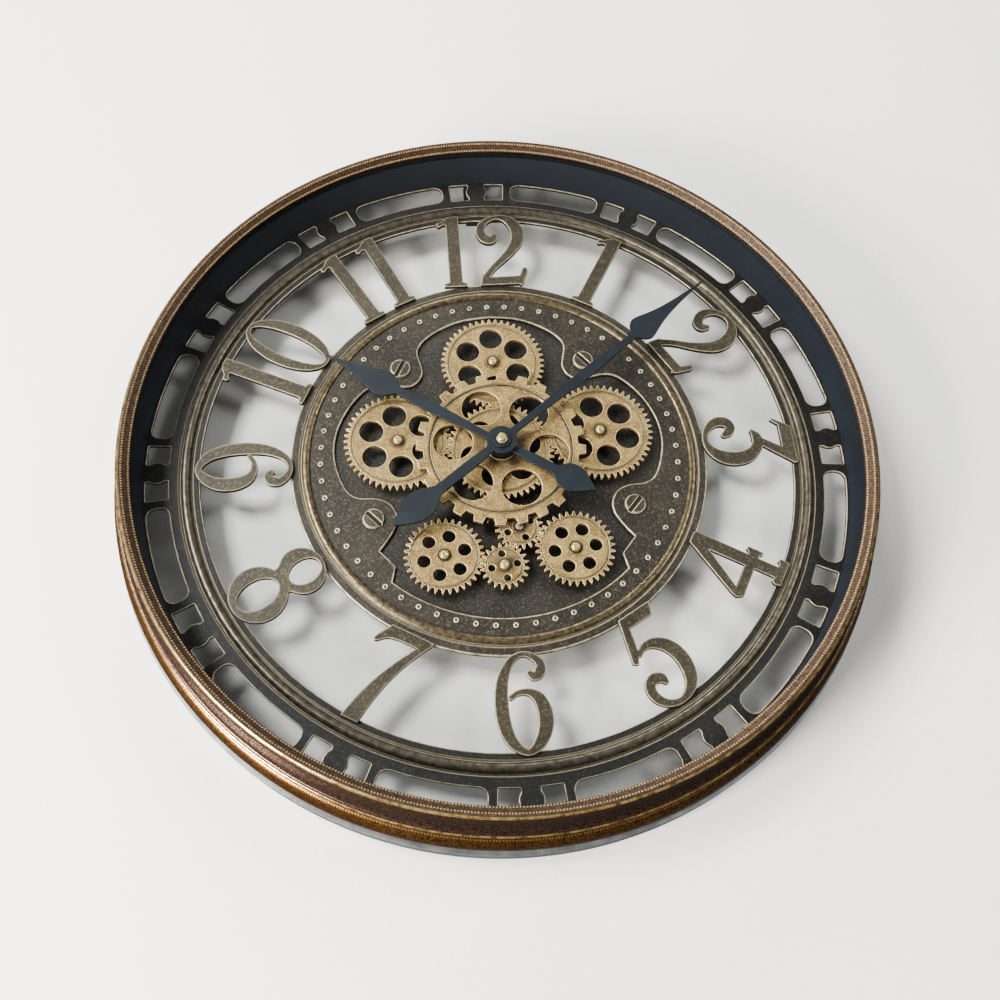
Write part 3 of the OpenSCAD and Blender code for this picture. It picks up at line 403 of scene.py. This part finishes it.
def black_plastic():
    """Spark-eroded black plastic of the housings."""
    n = Nodes("black_plastic")
    grain = n.noise(0.45, 2, 0.5)
    cloud = n.noise(18, 3, 0.5)
    colour = n.mix(n.ramp(cloud, 0.35, 0.65), srgb(24, 24, 25), srgb(34, 34, 35))
    return n.surface(colour, n.ramp(grain, 0.3, 0.7, 0.5, 0.62), 0.0, n.bump(grain, 0.06))


def white_plastic():
    """Natural white plastic of the setting knob and the motion wheels."""
    n = Nodes("white_plastic")
    cloud = n.noise(3, 3, 0.5)
    colour = n.mix(n.ramp(cloud, 0.35, 0.65), srgb(205, 202, 190), srgb(222, 220, 210))
    return n.surface(colour, n.ramp(cloud, 0.3, 0.7, 0.42, 0.5), 0.0, n.bump(cloud, 0.03),
                     Subsurface_Weight=0.1, Subsurface_Scale=0.002)


def rubber():
    """Matt black rubber of the glass seal."""
    n = Nodes("rubber")
    grain = n.noise(0.7, 2, 0.5)
    colour = n.mix(n.ramp(grain, 0.35, 0.65), srgb(20, 20, 21), srgb(34, 34, 34))
    return n.surface(colour, n.ramp(grain, 0.3, 0.7, 0.7, 0.85), 0.0, n.bump(grain, 0.08))


def battery_wrap():
    """Plain foil wrap of the cells, black with a copper-coloured end."""
    n = Nodes("battery_wrap")
    across = n.add("ShaderNodeSeparateXYZ", Vector=n.place).outputs["X"]
    foil = n.noise(4, 2, 0.5)
    colour = n.mix(n.ramp(across, DIAL_X + 11.8 * MM, DIAL_X + 12 * MM), srgb(30, 30, 32), srgb(176, 112, 62))
    colour = n.mix(n.ramp(foil, 0.6, 0.75, 0, 0.25), colour, srgb(96, 92, 88))
    return n.surface(colour, n.ramp(foil, 0.3, 0.7, 0.24, 0.34), 0.6, n.bump(foil, 0.03))


def window_glass():
    """Clear flat glass: lets lamps through, and mirrors a little more at low angles."""
    n = Nodes("window_glass")
    clear = n.add("ShaderNodeBsdfTransparent")
    clear.inputs["Color"].default_value = (0.985, 0.99, 0.988, 1)
    gloss = n.add("ShaderNodeBsdfGlossy")
    gloss.inputs["Color"].default_value = (1, 1, 1, 1)
    gloss.inputs["Roughness"].default_value = 0.03
    fresnel = n.add("ShaderNodeFresnel")
    fresnel.inputs["IOR"].default_value = 1.45
    mixer = n.add("ShaderNodeMixShader")
    n.put(mixer.inputs[0], n.math("MULTIPLY", fresnel.outputs[0], 0.45))
    n.put(mixer.inputs[1], clear.outputs[0])
    n.put(mixer.inputs[2], gloss.outputs[0])
    n.put(n.add("ShaderNodeOutputMaterial").inputs["Surface"], mixer.outputs[0])
    return n.material


def floor_paper():
    """Pale studio paper, seen from its front side only so that the back of the clock can be seen."""
    n = Nodes("floor_paper")
    fibre = n.noise(4, 3, 0.5)
    colour = n.mix(n.ramp(fibre, 0.3, 0.7), (0.66, 0.65, 0.63, 1), (0.7, 0.69, 0.67, 1))
    paper = n.add("ShaderNodeBsdfDiffuse", Color=colour)
    mixer = n.add("ShaderNodeMixShader")
    n.put(mixer.inputs[0], n.add("ShaderNodeNewGeometry").outputs["Backfacing"])
    n.put(mixer.inputs[1], paper.outputs[0])
    n.put(mixer.inputs[2], n.add("ShaderNodeBsdfTransparent").outputs[0])
    n.put(n.add("ShaderNodeOutputMaterial").inputs["Surface"], mixer.outputs[0])
    return n.material


PEWTER = pewter("pewter", srgb(47, 42, 32), srgb(62, 56, 43), 1.9)
DISC = pewter("disc_pewter", srgb(39, 37, 31), srgb(52, 48, 40), 1.8, 0.4)
TRACK = pewter("track_pewter", srgb(13, 14, 16), srgb(22, 22, 22), 1.3, 0.15, 0.5)
POCKET = pewter("pocket_pewter", srgb(37, 36, 33), srgb(48, 47, 42), 1, 0.4)
RUBBED, PATINA_AND_SHADE = rubbed_pewter(), patina_and_wall_shade()
BEAD, TRACK_BRONZE = bead_gold(), track_bronze()
BROWN_BRASS_WALL_SHADE, GEAR_EDGE = brown_brass_wall_shade(), gear_edge()
DARK_BRASS, PALE_BRASS = dark_brass(), pale_brass()
NAVY, LINING, STEEL = hand_navy(), navy_lining(), band_steel()
RIM_GOLD, RIM_LIP, RIM_BROWN, RIM_LINE = rim_gold(), rim_lip(), rim_brown(), rim_line()
ZINC, BLACK, WHITE, RUBBER = zinc(), black_plastic(), white_plastic(), rubber()
CELL, GLASS = battery_wrap(), window_glass()

# --- mesh helpers ---------------------------------------------------------------------------

BODY_OF = {node: body for body, nodes in frame["record"]["behaviour"]["bodies"].items() for node in nodes}
SHARP = math.radians(32)
FACE, EDGE, WALL, GROOVE = range(4)


def stand_for(node, mesh, materials):
    """Makes the shown piece of a CAD node from a mesh, and lets it ride where the node rides."""
    piece = bpy.data.objects.new(node + "_look", mesh)
    bpy.context.scene.collection.objects.link(piece)
    for material in materials:
        mesh.materials.append(material)
    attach(piece, BODY_OF[node])
    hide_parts(node)
    return piece


def show(node, bm, materials):
    """Shows a bmesh for a CAD node, smooth except across sharp edges."""
    mesh = bpy.data.meshes.new(node + "_look")
    for face in bm.faces:
        face.smooth = True
    for edge in bm.edges:
        edge.smooth = len(edge.link_faces) == 2 and edge.calc_face_angle(0) < SHARP
    bm.to_mesh(mesh)
    bm.free()
    return stand_for(node, mesh, materials)


def cad_shape(node, weld=0.0):
    """The CAD node's own shape as a bmesh, its flat triangles joined into whole faces."""
    bm = bmesh.new()
    bm.from_mesh(frame["nodes"][node].data)
    bmesh.ops.remove_doubles(bm, verts=bm.verts, dist=max(weld, 0.002) * MM)
    bmesh.ops.dissolve_limit(bm, angle_limit=math.radians(0.4), verts=bm.verts, edges=bm.edges)
    bmesh.ops.recalc_face_normals(bm, faces=bm.faces)
    return bm


def soften(piece, width, edge_slot=-1, steps=2):
    """Rounds the weighted edges by up to `width` millimetres, in the material of edge_slot."""
    bevel = piece.modifiers.new("soften", "BEVEL")
    bevel.width = width * MM
    bevel.segments = steps
    bevel.limit_method = "WEIGHT"
    bevel.use_clamp_overlap = False
    bevel.harden_normals = True
    bevel.material = edge_slot


def cast(node, width, materials, edge_slot=-1, steps=2, choose=None, weigh=None, weld=0.0):
    """A CAD node's shape with its outward edges rounded by `width` millimetres.

    choose gives a face's material slot and weigh the share of the width that an edge gets.
    """
    bm = cad_shape(node, weld)
    if choose:
        for face in bm.faces:
            face.material_index = choose(face)
    share = bm.edges.layers.float.new("bevel_weight_edge")
    for edge in bm.edges:
        if len(edge.link_faces) == 2 and edge.calc_face_angle_signed(0) > SHARP:
            edge[share] = weigh(edge) if weigh else 1.0
    piece = show(node, bm, materials)
    soften(piece, width, edge_slot, steps)
    return piece


def ring_faces(bm, rings, slots, close=True):
    """Joins rings of vertices into quads.  slots[i] is the material of the strip after ring i."""
    count = len(rings)
    for i in range(count if close else count - 1):
        a, b = rings[i], rings[(i + 1) % count]
        n = len(a)
        for k in range(n):
            face = bm.faces.new((a[k], a[(k + 1) % n], b[(k + 1) % n], b[k]))
            face.material_index = slots[i] if slots else 0


def turned(node, profile, materials, segments=360, slots=None):
    """Turns a closed profile of (r, d) round the dial's axis and shows it for a CAD node."""
    bm = bmesh.new()
    angles = [2 * math.pi * k / segments for k in range(segments)]
    rings = [[bm.verts.new((DIAL_X + r * MM * math.sin(a), DIAL_Y - d * MM, DIAL_Z + r * MM * math.cos(a)))
              for a in angles] for r, d in profile]
    ring_faces(bm, rings, slots)
    bmesh.ops.recalc_face_normals(bm, faces=bm.faces)
    return show(node, bm, materials)


def dome(bm, centre, profile, segments):
    """A small turned piece whose profile starts and ends on its own axis."""
    x, z = centre
    low = bm.verts.new((x, DIAL_Y - profile[0][1] * MM, z))
    high = bm.verts.new((x, DIAL_Y - profile[-1][1] * MM, z))
    angles = [2 * math.pi * k / segments for k in range(segments)]
    rings = [[bm.verts.new((x + r * MM * math.sin(a), DIAL_Y - d * MM, z + r * MM * math.cos(a)))
              for a in angles] for r, d in profile[1:-1]]
    ring_faces(bm, rings, None, close=False)
    for k in range(segments):
        bm.faces.new((low, rings[0][(k + 1) % segments], rings[0][k]))
        bm.faces.new((high, rings[-1][k], rings[-1][(k + 1) % segments]))


def smooth(points, steps=4):
    """Catmull-Rom curve through points."""
    out = []
    for i in range(len(points) - 1):
        a, b, c, d = (Vector(points[max(0, min(k, len(points) - 1))]) for k in (i - 1, i, i + 1, i + 2))
        for k in range(steps):
            t = k / steps
            out.append(tuple(0.5 * (2 * b + (c - a) * t + (2 * a - 5 * b + 4 * c - d) * t * t
                                    + (3 * b - a - 3 * c + d) * t ** 3)))
    return out + [points[-1]]


# --- case -----------------------------------------------------------------------------------

def build_bezel():
    """Rim: roped lip, long dark cove, thin ridge and round belly, on the CAD rim's own section."""
    speckled, gold, brown, line = 0, 1, 2, 3
    rabbet_r = 293
    lip = smooth([(289.0, 41.3), (289.3, 42.3), (290.4, 43.0), (292, 44.2), (293.8, 45.6), (295.4, 46.6),
                  (296.6, 46.85), (297.8, 46.4), (299, 45.2), (299.8, 43.7), (299.9, 42.2), (299.5, 41.1)])
    top_r, top_d, cove_in, cove_deep = 299.8, 39.5, 5.6, 21.5
    cove = [(top_r + cove_in * (1 - math.cos(math.radians(a))),
             top_d - cove_deep * math.sin(math.radians(a))) for a in range(0, 91, 5)]
    ridge = smooth([(305.9, 17.9), (306.7, 17.3), (307.1, 16), (306.8, 14.6), (305.9, 13.2), (305.0, 12.1),
                    (304.8, 11.0)], 3)
    belly_r, belly_d, belly_out, belly_half = 302, -4, 10.9, 14
    belly = [(belly_r + belly_out * math.cos(math.radians(a)),
              belly_d + belly_half * math.sin(math.radians(a))) for a in range(66, -41, -3)]
    outline = []
    for r, d in lip:
        crest = 297.2 < r < 298.8 and d > 45
        outline.append((r, d, line if crest else speckled if r < 299.6 else brown))
    outline += [(r, d, brown) for r, d in cove]
    outline += [(r, d, line if d > 14.4 else brown) for r, d in ridge]
    outline += [(r, d, gold) for r, d in belly]
    hidden = [(310.5, -13.4), (310.5, -15), (310.2, -15), (310.2, 1.6), (298.2, 1.6), (298.2, 4.4),
              (306.6, 4.4), (304.2, 6.6), (302.6, 8.4), (302.2, 10.6), (303.4, 14), (301.6, 16.4),
              (299.8, 19.6), (298.6, 24), (297.9, 29), (297.4, 34), (297, 38), (rabbet_r, 38),
              (rabbet_r, 41.2)]
    outline += [(r, d, brown) for r, d in hidden]
    turned("bezel", [(r, d) for r, d, _ in outline], [RIM_LIP, RIM_GOLD, RIM_BROWN, RIM_LINE], 720,
           [s for _, _, s in outline])


def build_case():
    """Rim, glass and seal, dark lining, rear band and hanger."""
    build_bezel()
    core, edge = 0.02, 0.3
    glass = [(core, GLASS_BACK), (GLASS_R - edge, GLASS_BACK), (GLASS_R, GLASS_BACK + edge),
             (GLASS_R, GLASS_FRONT - edge), (GLASS_R - edge, GLASS_FRONT), (core, GLASS_FRONT)]
    turned("glass", glass, [GLASS], 256)
    seal_low, seal_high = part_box("glass_seal")
    seal_back, seal_front = (DIAL_Y - seal_high.y) / MM, (DIAL_Y - seal_low.y) / MM
    seal_in, seal_out, bulge = 290.2, 292.7, 0.3
    turned("glass_seal", [(seal_in, seal_back), (seal_out, seal_back), (seal_out, seal_front),
                          (seal_in, seal_front), (seal_in - bulge, (seal_back + seal_front) / 2)], [RUBBER])
    liner_in, wall_r, foot_r, seat, foot = 290.4, 292.8, 309.5, 0.02, 1.45
    turned("inner_liner", [(liner_in, seat), (foot_r, seat), (foot_r, foot), (wall_r, foot),
                           (wall_r, seal_back), (liner_in + edge, seal_back), (liner_in, seal_back - 0.4)],
           [LINING], 480)
    build_rear()
    cast("case_fixings", 0.2, [ZINC])
    cast("hanger", 0.4, [LINING])
    cast("hanger_plate", 0.2, [ZINC])


def build_rear():
    """Rear band and flange, both rolled from sheet steel."""
    lip, bend, sheet = 0.4, 0.6, 2
    shelf, flange, flange_in, upright = -15.2, -2.8, 292.1, 308
    inner = BAND_R - sheet
    turned("rear_band", [(inner + lip, WALL_D), (BAND_R - lip, WALL_D), (BAND_R, WALL_D + lip),
                         (BAND_R, shelf - lip), (BAND_R - lip, shelf), (upright, shelf),
                         (upright, shelf - sheet), (inner - lip, shelf - sheet),
                         (inner, shelf - sheet - lip), (inner, WALL_D + lip)], [STEEL], 480)
    outer = upright + sheet
    turned("rear_flange", [(upright, shelf), (outer, shelf), (outer, flange - bend), (outer - bend, flange),
                           (flange_in, flange), (flange_in, flange - sheet), (upright - bend, flange - sheet),
                           (upright, flange - sheet - bend)], [STEEL], 480)


# --- dial -----------------------------------------------------------------------------------

SURROUND_GROOVE, TRACK_GROOVE, TRACK_FOOT_R = (163, 166), (250, 263), 305


def wall_or_face(face):
    """The slot of a face: faces that stand up from the dial are walls."""
    # Walls take a material painted darker, as shade.
    return WALL if abs(face.normal.y) < 0.5 else FACE


def middle_of(edge):
    return (edge.verts[0].co + edge.verts[1].co) / 2


def off_axis(point, axis):
    """Distance of a point from an axis along Y, in millimetres."""
    return math.hypot(point.x - axis.x, point.z - axis.z) / MM


def edge_share(edge):
    """Front edges are well worn; edges of the shallow grooves and at the back are only broken."""
    middle = middle_of(edge)
    r = off_axis(middle, DIAL)
    at_back = middle.y > DIAL_Y + 1.5 * MM
    in_groove = any(low < r < high for low, high in (SURROUND_GROOVE, TRACK_GROOVE))
    return 0.15 if at_back or in_groove or r > TRACK_FOOT_R else 1.0


def half_round(r, half, rise, steps=20):
    """Section of a half-round bead at radius r, `half` to each side and `rise` high."""
    low = 0.01
    turns = [math.pi * k / steps for k in range(1, steps)]
    round_part = [(r - half * math.cos(a), rise * math.sin(a)) for a in turns]
    return [(r - half, low)] + round_part + [(r + half, low)]


def build_dial():
    """Minute track, numerals, centre disc and the pocket behind the gears."""
    # Walls of the track, the numerals and the surround are painted dark as shade.
    cast("track_plate", 0.7, [TRACK, RUBBED, PATINA_AND_SHADE], EDGE, choose=wall_or_face, weigh=edge_share)
    for hour in range(1, 13):
        cast("numeral_%d" % hour, 0.25, [PEWTER, RUBBED, PATINA_AND_SHADE], EDGE, choose=wall_or_face, weld=0.1)
    cast("dial_surround", 1.2, [DISC, RUBBED, PATINA_AND_SHADE], EDGE, choose=wall_or_face, weigh=edge_share)
    cast("backplate", 0.2, [POCKET])
    turned("track_bead", half_round(r=256.2, half=4, rise=3.65), [TRACK_BRONZE], 480)
    turned("disc_bead", half_round(r=160, half=3.4, rise=2.08), [BEAD], 360)
    slot_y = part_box("dial_screws")[0].y + 0.3 * MM
    # Faces more than 0.3 mm below the screw heads' tops, their slots among them, are painted dark as shade and
    # patina.
    cast("dial_screws", 0.5, [PEWTER, RUBBED, PATINA_AND_SHADE], EDGE,
         choose=lambda face: WALL if face.calc_center_median().y > slot_y else FACE)
    build_studs()


def build_studs():
    """Ring of small dimpled rivets, rubbed pale on top."""
    stud_r, count, rubbed_d = 148, 60, 0.62
    bm = bmesh.new()
    profile = [(0, 0.01), (2.55, 0.01), (2.55, 0.25), (2.4, 0.6), (2.1, 0.95), (1.7, 1.08), (1.3, 1.0),
               (0.95, 0.7), (0.5, 0.48), (0, 0.42)]
    for k in range(count):
        turn = 2 * math.pi * k / count
        centre = (DIAL_X + stud_r * MM * math.sin(turn), DIAL_Z + stud_r * MM * math.cos(turn))
        dome(bm, centre, profile, 20)
    bmesh.ops.recalc_face_normals(bm, faces=bm.faces)
    for face in bm.faces:
        face.material_index = EDGE if DIAL_Y - face.calc_center_median().y > rubbed_d * MM else FACE
    show("dial_studs", bm, [PATINA_AND_SHADE, RUBBED])


# --- gears ----------------------------------------------------------------------------------

# Radius of each gear's engraved ring
GROOVES = {"centre_gear": 58.4, "centre_wheel": 37.4, "top_gear": 37.4, "left_gear": 37.4,
           "right_gear": 37.4, "lower_left_gear": 26.6, "lower_right_gear": 26.6, "small_gear": 14.2,
           "idler_gear": 14.2}
# Reach of the brown bloom round the hub, as a share of the gear's radius
DARK_HUBS = {"centre_gear": 0.52, "centre_wheel": 0.3, "small_gear": 0.9, "idler_gear": 0.8}
PLAIN_HUB = 0.22
AXES = {joint["child"]: Vector(joint["pos_m"]) for joint in frame["joints"] if joint.get("pos_m")}
GROOVE_HALF, GROOVE_DEPTH = 1.3, 1.0


def build_gear(node, groove_r):
    """A gear with rubbed edges, walls painted brown as shade and a dark engraved ring at radius groove_r."""
    axis = AXES[BODY_OF[node]]
    low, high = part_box(node)
    reach = (high.x - low.x) / 2 / MM
    brass = gear_brass(node + "_brass", axis, reach, DARK_HUBS.get(node, PLAIN_HUB), groove_r)

    def choose(face):
        middle = face.calc_center_median()
        sunk = (middle.y - low.y) / MM
        if abs(off_axis(middle, axis) - groove_r) < GROOVE_HALF and 0.02 < sunk < GROOVE_DEPTH:
            return GROOVE
        return wall_or_face(face)

    def weigh(edge):
        return 0 if abs(off_axis(middle_of(edge), axis) - groove_r) < GROOVE_HALF else 1

    cast(node, 0.34, [brass, GEAR_EDGE, BROWN_BRASS_WALL_SHADE, PATINA_AND_SHADE], EDGE, choose=choose, weigh=weigh)


def build_train():
    """Gears, their posts, washers and caps."""
    for node, groove_r in GROOVES.items():
        build_gear(node, groove_r)
    cast("drive_pinion", 0.25, [BROWN_BRASS_WALL_SHADE, GEAR_EDGE], EDGE)
    cast("centre_hub", 0.5, [DARK_BRASS, PALE_BRASS], EDGE)
    cast("gear_posts", 0.2, [ZINC])
    cast("post_washers", 0.25, [DARK_BRASS, BROWN_BRASS_WALL_SHADE], EDGE)
    build_caps()


def build_caps():
    """Domed cap screws of the gear posts, each with a small dimple."""
    bm = bmesh.new()
    seat = (DIAL_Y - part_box("gear_posts")[0].y) / MM
    high = (DIAL_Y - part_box("post_screws")[0].y) / MM
    rise = high - seat
    profile = [(0, seat - 5), (1.2, seat - 5), (1.2, seat + 0.02), (3.9, seat + 0.02), (4.0, seat + 0.3),
               (3.95, seat + 0.36 * rise), (3.6, seat + 0.62 * rise), (2.9, seat + 0.85 * rise),
               (2.1, seat + 0.97 * rise), (1.5, high), (1.15, high - 0.1), (0.9, high - 0.45),
               (0, high - 0.5)]
    for place in ("top", "left", "right", "lower_left", "lower_right", "small"):
        body = place + "_train"
        dome(bm, (AXES[body].x, AXES[body].z), profile, 32)
    bmesh.ops.recalc_face_normals(bm, faces=bm.faces)
    show("post_screws", bm, [PALE_BRASS])


# --- hands and movement ---------------------------------------------------------------------

def build_hands():
    """Hands, their nut and the arbors.  The toothed ones get only a fine edge."""
    cast("hour_hand", 0.35, [NAVY], steps=3)
    cast("minute_hand", 0.35, [NAVY], steps=3)
    cast("hand_nut", 0.2, [PALE_BRASS])
    for node, width in (("stem_bush", 0.15), ("stem_nut", 0.15), ("minute_arbor", 0.04)):
        cast(node, width, [PALE_BRASS])
    cast("stem_ring", 0.2, [DARK_BRASS])
    for node in ("hour_pipe", "motion_wheel", "setting_knob"):
        cast(node, 0.04, [WHITE])


def build_back():
    """Both movements.  The cover's strips beside its cell are too thin for a wide edge."""
    for node in ("movement_case", "motor_housing", "motor_cover"):
        cast(node, 0.5, [BLACK], steps=3)
    cast("movement_cover", 0.12, [BLACK])
    cast("switch_slider", 0.25, [BLACK])
    cast("gear_motor", 0.3, [ZINC])
    cast("battery_contacts", 0.08, [ZINC])
    cast("batteries", 0.5, [CELL], steps=3)


# --- stage ----------------------------------------------------------------------------------

def build_floor():
    """A sheet of pale paper just behind the clock, facing the front."""
    size, gap = 3.0, 0.0005
    bm = bmesh.new()
    corners = [(-size, -size), (size, -size), (size, size), (-size, size)]
    bm.faces.new([bm.verts.new((x, CAD_BOX[1].y + gap, z + DIAL_Z)) for x, z in corners])
    bm.normal_update()
    if bm.faces[:][0].normal.y > 0:
        bmesh.ops.reverse_faces(bm, faces=bm.faces)
    mesh = bpy.data.meshes.new("floor")
    bm.to_mesh(mesh)
    bm.free()
    mesh.materials.append(floor_paper())
    floor = bpy.data.objects.new("floor", mesh)
    bpy.context.scene.collection.objects.link(floor)
    floor.visible_diffuse = floor.visible_glossy = floor.visible_shadow = False


def soft_light(name, place, size, power, tint=(1, 1, 1)):
    """A square softbox at place, in metres from the dial's centre, that points at it."""
    data = bpy.data.lights.new(name, "AREA")
    data.shape, data.size, data.energy, data.color = "SQUARE", size, power, tint
    light = bpy.data.objects.new(name, data)
    light.location = DIAL + Vector(place)
    light.rotation_mode = "QUATERNION"
    light.rotation_quaternion = (-Vector(place)).to_track_quat("-Z", "Y")
    bpy.context.scene.collection.objects.link(light)
    return light


def build_lights():
    """Softboxes at both sides, above and low at the left, and two dim ones for the back."""
    soft_light("key", (-1.5, -2.2, 0.6), 0.9, 112)
    soft_light("top", (-0.3, -1.2, 2.2), 0.9, 50)
    soft_light("low_left", (-1.7, -1.0, -1.05), 0.8, 180, (1, 0.97, 0.92))
    soft_light("right", (1.9, -2.2, 0.6), 0.9, 44)
    for name, place, power in (("back_left", (-1.5, 2.0, 1.2), 60), ("back_right", (1.8, 1.8, -0.4), 40)):
        soft_light(name, place, 1.0, power).visible_glossy = False
    world = bpy.data.worlds.new("studio")
    world.use_nodes = True
    world.node_tree.nodes["Background"].inputs["Color"].default_value = (0.9, 0.92, 0.95, 1)
    world.node_tree.nodes["Background"].inputs["Strength"].default_value = 0.18
    bpy.context.scene.world = world
    bpy.context.scene.view_settings.look = "AgX - Medium High Contrast"


def build_camera():
    """A viewpoint low in front of 6 o'clock and a little to the left."""
    data = bpy.data.cameras.new("camera")
    data.sensor_width = 36
    data.lens = 37.55
    data.clip_start, data.clip_end = 0.02, 20
    camera = bpy.data.objects.new("camera", data)
    camera.location = DIAL + Vector((-66.4, -766.7, -396.8)) * MM
    camera.rotation_euler = [math.radians(a) for a in (114.9053, 4.692, -2.4923)]
    bpy.context.scene.collection.objects.link(camera)
    bpy.context.scene.camera = camera


build_camera()
build_lights()
build_floor()
build_case()
build_dial()
build_train()
build_hands()
build_back()
